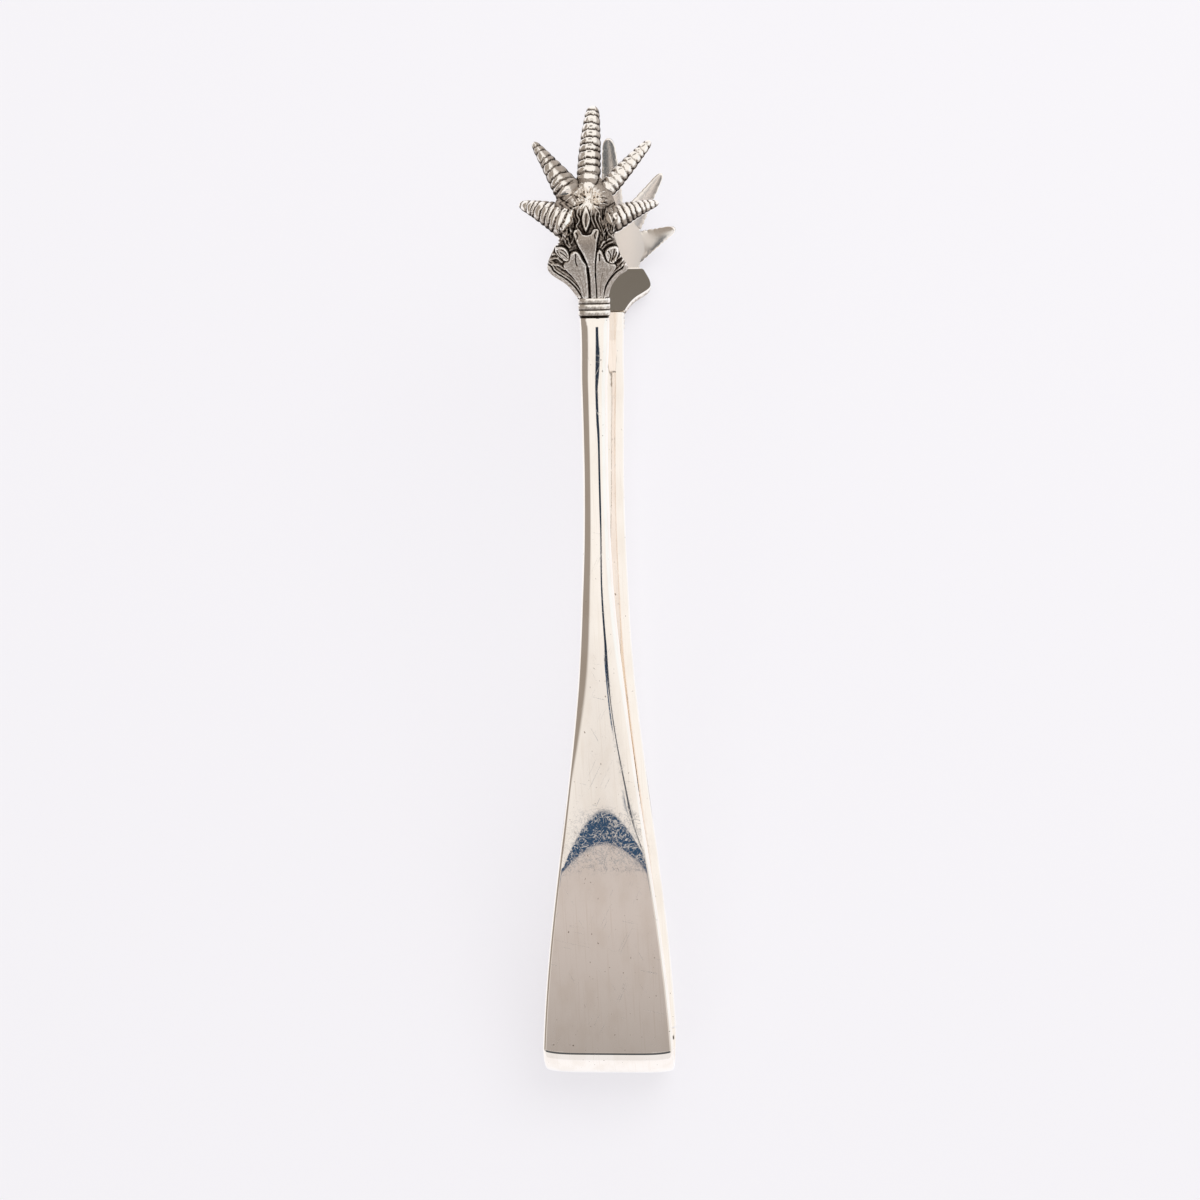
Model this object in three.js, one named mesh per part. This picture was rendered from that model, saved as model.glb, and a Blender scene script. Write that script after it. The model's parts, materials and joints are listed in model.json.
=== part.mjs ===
// Claw-ended sugar tongs: a spring bow, two arms with flat cheeks, and on each arm a reeded collar,
// a leaf capital and a palm that carries five ribbed talons.
// Millimetres, +Z up. The tongs lie on the cheek and the knuckle of the lower arm, claws towards +Y.
import * as THREE from 'three';

// Solder seam left between two pieces that meet end to end
const seamGap = 0.3;

// Bow: a curved strip of sheet between the two cheeks
const bowHalfGap = 5.4;
const bowHalfTurn = THREE.MathUtils.degToRad(65);
const sheetThickness = 1.0;
const edgeRound = 0.16;

// Arm: a flat cheek that narrows to a waist and swells again at the collar
const cheekHalfWidth = 8.5;
const cheekLength = 16;
const shoulderHalfWidth = 7.1;
const shoulderReach = 25;
const waistHalfWidth = 1.55;
const waistReach = 34;
const waistAt = 77;
const collarHalfWidth = 1.8;
const armReach = 93.8;
const armEndHalfGap = 17.0;
const armEndAngle = THREE.MathUtils.degToRad(6.5);
const crownStart = 20;
const crownFullAt = 56;
const crownHeight = 0.95;
const edgeThickness = 0.7;
const stopLength = 0.9;
const stopBevel = 0.5;
const stopCrown = 0.42;

// Collar: three round reeds
const collarLength = 2.1;
const collarCrown = 0.95;
const reedCount = 3;
const reedHeight = 0.2;

// Leaf capital: flares outwards from the collar to the knuckle
const capitalLength = 7.0;
const capitalAngle = THREE.MathUtils.degToRad(29);
const capitalFoot = 1.85;
const capitalCornerAt = 3.75;
const capitalCorners = { left: 5.4, right: 4.45 };
const capitalTops = { left: 4.05, right: 3.2 };
const capitalFlares = { left: 2, right: 3 };
const capitalBulge = 1.3;
const capitalInside = 0.45;
const capitalRim = 0.35;
const capitalCrown = 0.8;
const veinDepth = 0.3;
const veinCount = 7;

// Palm: the domed hub that the talons are set into, bent inwards at the knuckle
const palmAngle = THREE.MathUtils.degToRad(-14);
const palmInside = 0.45;
const palmRim = 0.55;
const palmDome = 0.75;
const palmFlat = 0.5;
const palmFoot = { left: 3.3, right: 2.55 };

// Talons, as places in the plane of the palm: x across, y from the knuckle
const leftThumb = {
  rootX: -2.95, rootY: 3.1, tipX: -8.95, tipY: 5.85,
  rootHalf: 2.0, tipHalf: 0.48, drop: 1.9, taper: 1.15, ribs: 8,
};
const leftFinger = {
  rootX: -2.85, rootY: 6.7, tipX: -7.2, tipY: 13.1,
  rootHalf: 1.5, tipHalf: 0.42, drop: 0.5, taper: 1, ribs: 8,
};
const middleFinger = {
  rootX: -0.45, rootY: 7.3, tipX: -0.05, tipY: 18.1,
  rootHalf: 1.35, tipHalf: 0.72, drop: 1.8, taper: 1.9, ribs: 11,
};
const rightFinger = {
  rootX: 2.0, rootY: 7.0, tipX: 7.0, tipY: 13.0,
  rootHalf: 1.12, tipHalf: 0.46, drop: 0.5, taper: 1.5, ribs: 9,
};
const rightThumb = {
  rootX: 2.3, rootY: 3.2, tipX: 7.95, tipY: 5.8,
  rootHalf: 1.75, tipHalf: 0.42, drop: 1.9, taper: 1.15, ribs: 8,
};
const talonList = [leftThumb, leftFinger, middleFinger, rightFinger, rightThumb];
const talonRootShare = 0.9;
const talonSwellAt = 0.1;
const talonPoint = 0.45;
const talonInside = 0.45;
const talonCrownShare = 0.78;
const ribDepth = 0.13;
const ribbedShare = 0.94;

// How finely the curved pieces are cut into facets
const bowSteps = 18;
const taperSteps = 16;
const swellSteps = 4;
const armFacets = 8;
const reedSteps = 4;
const capitalFacets = 14;
const capitalSteps = 9;
const talonFacets = 6;

const silver = new THREE.MeshStandardMaterial({ color: 0xd8d3ca, roughness: 0.16, metalness: 1 });
const darkSilver = new THREE.MeshStandardMaterial({ color: 0xa39c92, roughness: 0.32, metalness: 1 });

// Closed solid through a row of sections, each a ring of as many points
function loftGeometry(sections) {
  const count = sections[0].length;
  const positions = sections.flat().flatMap((point) => point.toArray());
  const faces = [];
  for (let row = 0; row < sections.length - 1; row += 1) {
    for (let column = 0; column < count; column += 1) {
      const next = (column + 1) % count;
      const a = row * count + column;
      const b = row * count + next;
      faces.push(a, b, b + count, a, b + count, a + count);
    }
  }
  const lastRow = (sections.length - 1) * count;
  for (const [p, q, r] of capTriangles(sections[0])) faces.push(r, q, p);
  for (const [p, q, r] of capTriangles(sections[sections.length - 1])) {
    faces.push(lastRow + p, lastRow + q, lastRow + r);
  }
  return facedOutwards(positions, faces);
}

// Triangles that fill one ring, found in the ring's own plane and turned the way the ring runs
function capTriangles(ring) {
  const across = ring[1].clone().sub(ring[0]).normalize();
  const normal = new THREE.Vector3();
  ring.forEach((point, i) => normal.add(point.clone().cross(ring[(i + 1) % ring.length])));
  normal.normalize();
  const along = normal.clone().cross(across);
  const flat = ring.map((point) => new THREE.Vector2(point.dot(across), point.dot(along)));
  return THREE.ShapeUtils.triangulateShape(flat, []);
}

// Indexed geometry with its faces turned outwards
function facedOutwards(positions, faces) {
  const corner = (index) => new THREE.Vector3().fromArray(positions, index * 3);
  let volume = 0;
  for (let i = 0; i < faces.length; i += 3) {
    volume += corner(faces[i]).dot(corner(faces[i + 1]).cross(corner(faces[i + 2])));
  }
  if (volume < 0) faces.reverse();
  const geometry = new THREE.BufferGeometry();
  geometry.setAttribute('position', new THREE.Float32BufferAttribute(positions, 3));
  geometry.setIndex(faces);
  geometry.computeVertexNormals();
  return geometry;
}

// Point at x across, some way along a direction in the side view, and some way outwards from it
function sidePoint(start, angle, x, along, outwards) {
  return new THREE.Vector3(
    x,
    start.y + along * Math.cos(angle) - outwards * Math.sin(angle),
    start.z + along * Math.sin(angle) + outwards * Math.cos(angle),
  );
}

// Places of the arm's pieces in the side view of one arm, measured from the middle plane of the tongs
const seam = new THREE.Vector3(0, 0, bowHalfGap);
const armEnd = new THREE.Vector3(0, armReach, armEndHalfGap);
const collarStart = sidePoint(armEnd, armEndAngle, 0, seamGap, 0);
const capitalStart = sidePoint(collarStart, armEndAngle, 0, collarLength + seamGap / 2, 0);
const knuckle = sidePoint(capitalStart, capitalAngle, 0, capitalLength, 0);

// Mitres at the foot of the capital and at the knuckle: shift along the piece for each mm outwards
const footMitre = Math.tan((capitalAngle - armEndAngle) / 2);
const knuckleMitre = Math.tan((capitalAngle - palmAngle) / 2);

// The cheek lies in the plane that also touches the top of the capital, so the tongs rest on both
const capitalTop = capitalRim + capitalCrown + veinDepth;
const capitalEnd = capitalTop * knuckleMitre - seamGap / 2;
const outermost = sidePoint(knuckle, capitalAngle, 0, capitalEnd, capitalTop);
const restReach = outermost.clone().sub(seam);
const restAngle = Math.atan2(restReach.z, restReach.y)
  - Math.asin(sheetThickness / 2 / restReach.length());

// Bow, swept round its arc from the upper seam to the lower one
function bowGeometry() {
  const radius = bowHalfGap / Math.sin(bowHalfTurn);
  const centre = radius * Math.cos(bowHalfTurn);
  const turn = bowHalfTurn - seamGap / radius;
  const half = sheetThickness / 2;
  const outline = [
    [-cheekHalfWidth, -half],
    [cheekHalfWidth, -half],
    [cheekHalfWidth, half - edgeRound],
    [cheekHalfWidth - edgeRound, half],
    [-cheekHalfWidth + edgeRound, half],
    [-cheekHalfWidth, half - edgeRound],
  ];
  const sections = [];
  for (let step = 0; step <= bowSteps; step += 1) {
    const angle = THREE.MathUtils.lerp(turn, -turn, step / bowSteps);
    sections.push(outline.map(([x, out]) => new THREE.Vector3(
      x,
      centre - (radius + out) * Math.cos(angle),
      (radius + out) * Math.sin(angle),
    )));
  }
  return loftGeometry(sections);
}

// Ring of one arm or collar section: flat inside, an elliptic crown outside
function crownedRing(start, angle, halfWidth, edge, crown) {
  const ring = [];
  for (let facet = 0; facet <= armFacets; facet += 1) {
    const turn = (Math.PI * facet) / armFacets;
    const out = edge + crown * Math.sin(turn);
    ring.push(sidePoint(start, angle, halfWidth * Math.cos(turn), 0, out));
  }
  ring.push(sidePoint(start, angle, -halfWidth, 0, -sheetThickness / 2));
  ring.push(sidePoint(start, angle, halfWidth, 0, -sheetThickness / 2));
  return ring;
}

// Arm, from its square end at the bow to the stop before the collar
function armGeometry() {
  const cheekEnd = sidePoint(seam, restAngle, 0, cheekLength, 0);
  const pull = cheekEnd.distanceTo(armEnd) / 3;
  const path = new THREE.CurvePath();
  path.add(new THREE.LineCurve3(seam, cheekEnd));
  path.add(new THREE.CubicBezierCurve3(
    cheekEnd,
    sidePoint(cheekEnd, restAngle, 0, pull, 0),
    sidePoint(armEnd, armEndAngle, 0, -pull, 0),
    armEnd,
  ));
  const length = path.getLength();
  const taper = new THREE.CubicBezierCurve(
    new THREE.Vector2(0, cheekHalfWidth),
    new THREE.Vector2(shoulderReach, shoulderHalfWidth),
    new THREE.Vector2(waistAt - waistReach, waistHalfWidth),
    new THREE.Vector2(waistAt, waistHalfWidth),
  );
  const stations = taper.getPoints(taperSteps).map((point) => [point.x, point.y, 1]);
  const stopStart = length - stopLength - stopBevel;
  for (let step = 1; step <= swellSteps; step += 1) {
    const share = step / swellSteps;
    const halfWidth = THREE.MathUtils.lerp(waistHalfWidth, collarHalfWidth, share * share);
    stations.push([THREE.MathUtils.lerp(waistAt, stopStart, share), halfWidth, 1]);
  }
  stations.push([length - stopLength, collarHalfWidth, stopCrown / crownHeight]);
  stations.push([length, collarHalfWidth, stopCrown / crownHeight]);
  const sections = stations.map(([along, halfWidth, crownShare]) => {
    const share = Math.min(along / length, 1);
    const place = path.getPointAt(share);
    const heading = path.getTangentAt(share);
    const rise = THREE.MathUtils.smoothstep(along, crownStart, crownFullAt);
    const edge = THREE.MathUtils.lerp(sheetThickness, edgeThickness, rise) - sheetThickness / 2;
    const angle = Math.atan2(heading.z, heading.y);
    return crownedRing(place, angle, halfWidth, edge, crownHeight * rise * crownShare);
  });
  return loftGeometry(sections);
}

// Collar: the arm's section carried on, with its outside swelling in round reeds
function collarGeometry() {
  const sections = [];
  const steps = reedCount * reedSteps;
  const edge = edgeThickness - sheetThickness / 2;
  for (let step = 0; step <= steps; step += 1) {
    const reed = reedHeight * Math.abs(Math.sin((Math.PI * step) / reedSteps));
    const place = sidePoint(collarStart, armEndAngle, 0, (collarLength * step) / steps, 0);
    const halfWidth = collarHalfWidth + reed / 2;
    sections.push(crownedRing(place, armEndAngle, halfWidth, edge, collarCrown - reedHeight + reed));
  }
  return loftGeometry(sections);
}

// Half width of the capital: a hollow curve out to the corner, then a full one in to the knuckle
function capitalHalfWidth(along, corner, top, flare) {
  const hollow = Math.min(along / capitalCornerAt, 1) ** flare;
  const fall = (Math.max(along - capitalCornerAt, 0) / (capitalLength - capitalCornerAt)) ** capitalBulge;
  return THREE.MathUtils.lerp(THREE.MathUtils.lerp(capitalFoot, corner, hollow), top, fall);
}

// Leaf capital, veined lengthwise outside and plain inside, with both ends cut to a mitre
function capitalGeometry() {
  const cornerStep = Math.round((capitalSteps * capitalCornerAt) / capitalLength);
  const places = [];
  for (let step = 0; step <= capitalSteps; step += 1) {
    const rising = Math.sin((Math.PI / 2) * Math.min(step / cornerStep, 1)) * capitalCornerAt;
    const falling = Math.max(step - cornerStep, 0) / (capitalSteps - cornerStep);
    places.push(THREE.MathUtils.lerp(rising, capitalLength, falling));
  }
  const sections = places.map((along, step) => {
    const left = capitalHalfWidth(along, capitalCorners.left, capitalTops.left, capitalFlares.left);
    const right = capitalHalfWidth(along, capitalCorners.right, capitalTops.right, capitalFlares.right);
    const atFoot = step === 0;
    const atTop = step === capitalSteps;
    const mitred = (x, out) => {
      let place = along;
      if (atFoot) place += seamGap / 2 + out * footMitre;
      if (atTop) place += out * knuckleMitre - seamGap / 2;
      return sidePoint(capitalStart, capitalAngle, x, place, out);
    };
    const ring = [];
    for (let facet = 0; facet <= capitalFacets; facet += 1) {
      const across = Math.cos((Math.PI * facet) / capitalFacets);
      const bulge = Math.sqrt(1 - across * across);
      const vein = Math.cos(veinCount * Math.PI * across) * bulge * (along / capitalLength);
      const out = capitalRim + capitalCrown * bulge + veinDepth * vein;
      ring.push(mitred(across * (across > 0 ? right : left), out));
    }
    ring.push(mitred(-left, -capitalInside));
    ring.push(mitred(right, -capitalInside));
    return ring;
  });
  return loftGeometry(sections);
}

// Point over the plane of the palm: x across, y from the knuckle, and some way outwards
function palmPoint([x, y], outwards) {
  return sidePoint(knuckle, palmAngle, x, y, outwards);
}

// Direction of a talon in the plane of the palm, its length there and its root
function talonLine({ rootX, rootY, tipX, tipY }) {
  const start = new THREE.Vector2(rootX, rootY);
  const reach = new THREE.Vector2(tipX, tipY).sub(start);
  const length = reach.length();
  const heading = reach.normalize();
  return { start, length, heading, across: new THREE.Vector2(heading.y, -heading.x) };
}

// Palm: an outline with one flat seat for each talon, domed outside and mitred against the capital
function palmGeometry() {
  const seats = talonList.flatMap((talon) => {
    const { start, heading, across } = talonLine(talon);
    const middle = start.clone().addScaledVector(heading, -seamGap);
    const side = talon.rootHalf * talonRootShare;
    return [-side, side].map((shift) => middle.clone().addScaledVector(across, shift));
  });
  const outlineAt = (out, shrink) => {
    const foot = seamGap / 2 - out * knuckleMitre;
    const outline = [
      ...seats,
      new THREE.Vector2(palmFoot.right, foot),
      new THREE.Vector2(-palmFoot.left, foot),
    ];
    const middle = outline.reduce((sum, point) => sum.add(point), new THREE.Vector2());
    middle.divideScalar(outline.length);
    return outline.map((point) => palmPoint(point.lerp(middle, shrink).toArray(), out));
  };
  return loftGeometry([
    outlineAt(-palmInside, 0),
    outlineAt(palmRim, 0),
    outlineAt(palmRim + palmDome, palmFlat),
  ]);
}

// Talon: a tapering D section carried along a line that drops inwards, swelling in ribs
function talonGeometry(talon) {
  const { start, length, heading, across } = talonLine(talon);
  const side = new THREE.Vector3().subVectors(
    palmPoint(across.toArray(), 0),
    palmPoint([0, 0], 0),
  );
  const shares = [];
  for (let step = 0; step < 2 * talon.ribs; step += 1) shares.push((ribbedShare * step) / (2 * talon.ribs));
  shares.push(ribbedShare, 1);
  const placeAt = (share) => palmPoint(
    start.clone().addScaledVector(heading, length * share).toArray(),
    -talon.drop * share * share,
  );
  const sections = shares.map((share, step) => {
    const swell = THREE.MathUtils.smoothstep(share, 0, talonSwellAt);
    const root = THREE.MathUtils.lerp(talonRootShare, 1, swell);
    const groove = step % 2 === 0 && share < ribbedShare ? 1 - ribDepth : 1;
    const point = share < 1 ? 1 : talonPoint;
    const cone = THREE.MathUtils.lerp(talon.rootHalf, talon.tipHalf, share ** talon.taper);
    const half = cone * root * groove * point;
    const place = placeAt(share);
    const ahead = placeAt(share + talonSwellAt).sub(placeAt(share - talonSwellAt)).normalize();
    const outwards = side.clone().cross(ahead);
    const ring = [];
    for (let facet = 0; facet <= talonFacets; facet += 1) {
      const turn = (Math.PI * facet) / talonFacets;
      ring.push(place.clone()
        .addScaledVector(side, half * Math.cos(turn))
        .addScaledVector(outwards, talonCrownShare * half * Math.sin(turn)));
    }
    const inside = Math.min(talonInside, half);
    ring.push(place.clone().addScaledVector(side, -half).addScaledVector(outwards, -inside));
    ring.push(place.clone().addScaledVector(side, half).addScaledVector(outwards, -inside));
    return ring;
  });
  return loftGeometry(sections);
}

function namedMesh(name, geometry, material) {
  const mesh = new THREE.Mesh(geometry, material);
  mesh.name = name;
  return mesh;
}

// One arm with its collar, capital, palm and talons
function armGroup(prefix) {
  const group = new THREE.Group();
  group.add(namedMesh(`${prefix}_arm`, armGeometry(), silver));
  group.add(namedMesh(`${prefix}_collar`, collarGeometry(), darkSilver));
  group.add(namedMesh(`${prefix}_leaf_capital`, capitalGeometry(), darkSilver));
  group.add(namedMesh(`${prefix}_palm`, palmGeometry(), darkSilver));
  talonList.forEach((talon, index) => {
    group.add(namedMesh(`${prefix}_talon_${index + 1}`, talonGeometry(talon), darkSilver));
  });
  return group;
}

// The lower arm is the upper one turned half round the long axis
const tongs = new THREE.Group();
tongs.add(namedMesh('bow_spring', bowGeometry(), silver));
tongs.add(armGroup('upper'));
const lowerArm = armGroup('lower');
lowerArm.rotation.y = Math.PI;
tongs.add(lowerArm);

// Laid down on the lower cheek, centred over the origin
tongs.rotation.x = restAngle;
const part = new THREE.Group();
part.add(tongs);
const box = new THREE.Box3().setFromObject(part, true);
const middle = box.getCenter(new THREE.Vector3());
tongs.position.set(-middle.x, -middle.y, -box.min.z);

export default part;
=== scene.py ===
# %% [markdown]
# # Silver sugar tongs with claw ends
# The tongs are a bow spring, two slim arms and two cast claws, all of polished silver. The CAD model
# gives every piece its place and its motion. This lesson lays a finished skin over each of those
# pieces, worked out with numpy as whole arrays, and then lights the result like a small studio.

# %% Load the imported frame
import json
import math

import bpy
import numpy as np
from mathutils import Matrix, Vector


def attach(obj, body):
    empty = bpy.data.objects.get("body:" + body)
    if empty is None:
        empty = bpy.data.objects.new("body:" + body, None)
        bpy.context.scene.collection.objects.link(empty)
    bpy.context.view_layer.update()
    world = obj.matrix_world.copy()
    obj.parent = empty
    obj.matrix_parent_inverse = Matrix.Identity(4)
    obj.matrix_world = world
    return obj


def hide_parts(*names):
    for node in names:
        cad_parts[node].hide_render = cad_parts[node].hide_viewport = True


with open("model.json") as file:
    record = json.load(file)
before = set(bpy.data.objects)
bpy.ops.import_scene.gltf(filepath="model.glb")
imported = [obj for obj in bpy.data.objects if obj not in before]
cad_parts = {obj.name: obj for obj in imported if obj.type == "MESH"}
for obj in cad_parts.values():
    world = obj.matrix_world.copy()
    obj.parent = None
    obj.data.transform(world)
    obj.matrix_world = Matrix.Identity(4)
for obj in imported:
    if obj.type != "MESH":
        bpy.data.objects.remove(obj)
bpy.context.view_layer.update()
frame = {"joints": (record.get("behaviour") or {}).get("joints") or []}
MM = 0.001

# %% [markdown]
# ## The tongs' own axes
# The two arms are copies of each other, turned half round the long axis, so every shape is worked out
# once in axes that belong to the tongs: x across, y from the bow to the claws, z out from the middle
# plane, in millimetres. The two hinge points of the frame lie at the seams of the bow, so the axes can
# be read from them instead of being typed in again.

# %% Axes from the two hinges
hinges = {joint["name"]: np.array(joint["pos_m"]) / MM for joint in frame["joints"]}
upper_seam = hinges["squeeze_upper"]
lower_seam = hinges["squeeze_lower"]
BOW_HALF_GAP = np.linalg.norm(upper_seam - lower_seam) / 2
ORIGIN = (upper_seam + lower_seam) / 2
OUTWARDS = (upper_seam - lower_seam) / (2 * BOW_HALF_GAP)
ACROSS = np.array([1.0, 0.0, 0.0])
ALONG = np.cross(OUTWARDS, ACROSS)
REST_ANGLE = math.atan2(ALONG[2], ALONG[1])
TURN = {"upper": np.array([1.0, 1.0, 1.0]), "lower": np.array([-1.0, 1.0, -1.0])}


def placed(points, arm="upper"):
    """Points in the tongs' axes, in mm, as points of the part's frame, in metres.

    Each point is the origin plus x times across, y times along and z times outwards. The lower arm
    has x and z turned round first, which is the half turn.
    """
    return (ORIGIN + (points * TURN[arm]) @ np.stack([ACROSS, ALONG, OUTWARDS])) * MM


print("half gap", round(BOW_HALF_GAP, 3), "mm, rest angle", round(math.degrees(REST_ANGLE), 3), "degrees")

# %% [markdown]
# ## One way to make a skin
# A bow, an arm, a collar, a claw and a talon are all a closed section carried along a path. They could
# be modelled by hand with loops of edges, but then a change of size means modelling again. Here each
# shape is a stack of rings held in one array, and one function joins the rings into a closed mesh.

# %% A closed skin over a stack of rings
SHARP_ANGLE = math.radians(50)


def skin(name, rings, body, nodes, finish, wear_and_painted_light=None, arm="upper"):
    """Closed mesh over rings of shape (rows, count, 3), given in the tongs' axes.

    Quads join each ring to the next, and a fan round the middle of the first and last ring closes the
    ends. Six times the volume is the sum of the triple products of the faces' corners: where it is
    negative the faces are turned round, so that they point outwards.
    """
    rows, count = rings.shape[:2]
    index = np.arange(rows * count).reshape(rows, count)
    after = np.roll(index, -1, axis=1)
    quads = np.stack([index[:-1], after[:-1], after[1:], index[1:]], axis=-1).reshape(-1, 4)
    first_middle = np.full(count, rows * count)
    fans = np.concatenate([
        np.stack([after[0], index[0], first_middle], axis=-1),
        np.stack([index[-1], after[-1], first_middle + 1], axis=-1),
    ])
    ends = np.stack([rings[0].mean(axis=0), rings[-1].mean(axis=0)])
    points = placed(np.concatenate([rings.reshape(-1, 3), ends]), arm)
    corners = points[np.concatenate([quads[:, :3], quads[:, [0, 2, 3]], fans])]
    volume = np.einsum("ij,ij->i", corners[:, 0], np.cross(corners[:, 1], corners[:, 2])).sum()
    if volume < 0:
        quads = quads[:, ::-1]
        fans = fans[:, ::-1]
    mesh = bpy.data.meshes.new(name)
    mesh.from_pydata(points.tolist(), [], quads.tolist() + fans.tolist())
    mesh.shade_smooth()
    mesh.set_sharp_from_angle(angle=SHARP_ANGLE)
    if wear_and_painted_light is not None:
        # The attribute holds the worn tone, and also painted shade on the talons and a painted highlight on
        # the reeds.
        values = np.concatenate([wear_and_painted_light.ravel(), [wear_and_painted_light[0].mean(), wear_and_painted_light[-1].mean()]])
        mesh.attributes.new("wear_and_painted_light", "FLOAT", "POINT").data.foreach_set("value", values.astype(np.float32))
    piece = bpy.data.objects.new(name, mesh)
    bpy.context.scene.collection.objects.link(piece)
    mesh.materials.append(finish)
    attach(piece, body)
    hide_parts(*nodes)
    print(name, "has", len(mesh.polygons), "faces and", round(abs(volume) / 6 / MM**3, 1), "mm3")


def skin_arms(name, rings, nodes, finish, wear_and_painted_light=None):
    """The same skin on both arms, each riding on its own arm and standing in for its own nodes."""
    for arm in TURN:
        arm_nodes = [f"{arm}_{node}" for node in nodes]
        skin(f"{arm}_{name}", rings, f"{arm}_arm", arm_nodes, finish, wear_and_painted_light, arm)


# %% Small helpers for curves
def smooth(value, low, high):
    """Smooth step: 0 below low, 1 above high, three t squared less two t cubed between them."""
    share = np.clip((value - low) / (high - low), 0.0, 1.0)
    return share * share * (3 - 2 * share)


def mix(start, end, share):
    """Straight blend: start at share 0, end at share 1."""
    return start + (end - start) * share


def bell(value, width):
    """Bell curve: e to the power of minus the square of value over width."""
    return np.exp(-((value / width) ** 2))


def half_round(value):
    """Height of a half circle of radius 1 at a distance from its middle, and nothing beyond it."""
    return np.sqrt(np.clip(1 - value**2, 0, None))


def bezier(points, steps):
    """Points on a cubic Bezier curve: the four corners weighted by the Bernstein polynomials."""
    t = np.linspace(0, 1, steps)[:, None]
    a, b, c, d = (np.array(point, float) for point in points)
    return a * (1 - t) ** 3 + b * 3 * t * (1 - t) ** 2 + c * 3 * t**2 * (1 - t) + d * t**3


def side_point(start, angle, along, out):
    """Point of the side view (y, z): some way along a direction from start, and some way out from it."""
    return np.stack([
        start[..., 0] + along * np.cos(angle) - out * np.sin(angle),
        start[..., 1] + along * np.sin(angle) + out * np.cos(angle),
    ], axis=-1)


def spatial(x, side):
    """Points (x, y, z) from the places x across and the points (y, z) of the side view."""
    return np.concatenate([x[..., None], side], axis=-1)


print("smooth step and bell curve half way:", smooth(0.5, 0.0, 1.0), round(float(bell(0.5, 1.0)), 3))

# %% [markdown]
# ## Two finishes of one metal
# All of it is silver. The plain parts are polished to a mirror and carry years of hair scratches; the
# claws are cast, and a dark tarnish stays in their cuts while hands keep the high places bright. A
# single shader could do both, but the tarnish follows the carving, so the claws read an attribute
# that each carved skin brings along: 0 in the bottom of a cut, 1 on a rubbed edge. Besides the worn
# tone it holds painted shade on the talons' rims and flanks and a painted highlight along each reed
# of the collars.


# %% Helpers for shader nodes
def new_finish(name, metallic=0.0):
    """Material with little in its node tree but a shader, its output and the object's coordinates."""
    material = bpy.data.materials.new(name)
    material.use_nodes = True
    tree = material.node_tree
    shader = tree.nodes["Principled BSDF"]
    shader.inputs["Metallic"].default_value = metallic
    place = tree.nodes.new("ShaderNodeTexCoord").outputs["Object"]
    return material, tree, shader, place


def feed(tree, socket, value):
    """Link an output to a socket, or set the socket where the value is a plain one."""
    if isinstance(value, bpy.types.NodeSocket):
        tree.links.new(value, socket)
    else:
        socket.default_value = value


def math_node(tree, operation, *values):
    """Output of a math node whose inputs are sockets or plain numbers."""
    node = tree.nodes.new("ShaderNodeMath")
    node.operation = operation
    for socket, value in zip(node.inputs, values):
        feed(tree, socket, value)
    return node.outputs[0]


def chain(tree, operation, first, *others):
    """Output of one math operation carried on through several sockets."""
    for other in others:
        first = math_node(tree, operation, first, other)
    return first


def apart(tree, value, middle):
    """Output of the distance between a socket's value and a middle one."""
    return math_node(tree, "ABSOLUTE", math_node(tree, "SUBTRACT", value, middle))


def ramp_node(tree, value, low, high, to_low=0.0, to_high=1.0):
    """Output of a smooth step of a socket, from to_low at low to to_high at high."""
    node = tree.nodes.new("ShaderNodeMapRange")
    node.interpolation_type = "SMOOTHSTEP"
    tree.links.new(value, node.inputs["Value"])
    for name, number in zip(("From Min", "From Max", "To Min", "To Max"), (low, high, to_low, to_high)):
        node.inputs[name].default_value = number
    return node.outputs["Result"]


def fall_node(tree, value, low, high):
    """Output of a smooth step of a socket from 1 at low down to 0 at high."""
    return ramp_node(tree, value, low, high, 1.0, 0.0)


# %% Helpers for colour, noise and relief in a shader
MIX_COLOURS = (6, 7)
MIX_RESULT = 2


def colour_mix(tree, share, first, second):
    """Output of a colour mix whose two colours are sockets or plain colours.

    The node has sockets of one name for each kind of value, so those for colours go by number.
    """
    node = tree.nodes.new("ShaderNodeMix")
    node.data_type = "RGBA"
    tree.links.new(share, node.inputs["Factor"])
    for number, colour in zip(MIX_COLOURS, (first, second)):
        feed(tree, node.inputs[number], (*colour, 1.0) if isinstance(colour, tuple) else colour)
    return node.outputs[MIX_RESULT]


def noise_node(tree, place, scale, stretch=(1, 1, 1), turn=0.0, detail=2.0):
    """Noise over the object's coordinates, scaled per metre, stretched and turned about the z axis."""
    mapping = tree.nodes.new("ShaderNodeMapping")
    mapping.vector_type = "TEXTURE"
    mapping.inputs["Rotation"].default_value = (0.0, 0.0, turn)
    mapping.inputs["Scale"].default_value = [1 / share for share in stretch]
    tree.links.new(place, mapping.inputs["Vector"])
    noise = tree.nodes.new("ShaderNodeTexNoise")
    noise.inputs["Scale"].default_value = scale
    noise.inputs["Detail"].default_value = detail
    tree.links.new(mapping.outputs["Vector"], noise.inputs["Vector"])
    return noise.outputs["Fac"]


def dent(tree, shader, height, strength, distance, sunk=False):
    """Tilt the shader's normals by a height, which is a depth instead where it is sunk."""
    bump = tree.nodes.new("ShaderNodeBump")
    bump.invert = sunk
    bump.inputs["Strength"].default_value = strength
    bump.inputs["Distance"].default_value = distance
    tree.links.new(height, bump.inputs["Height"])
    tree.links.new(bump.outputs["Normal"], shader.inputs["Normal"])


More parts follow.
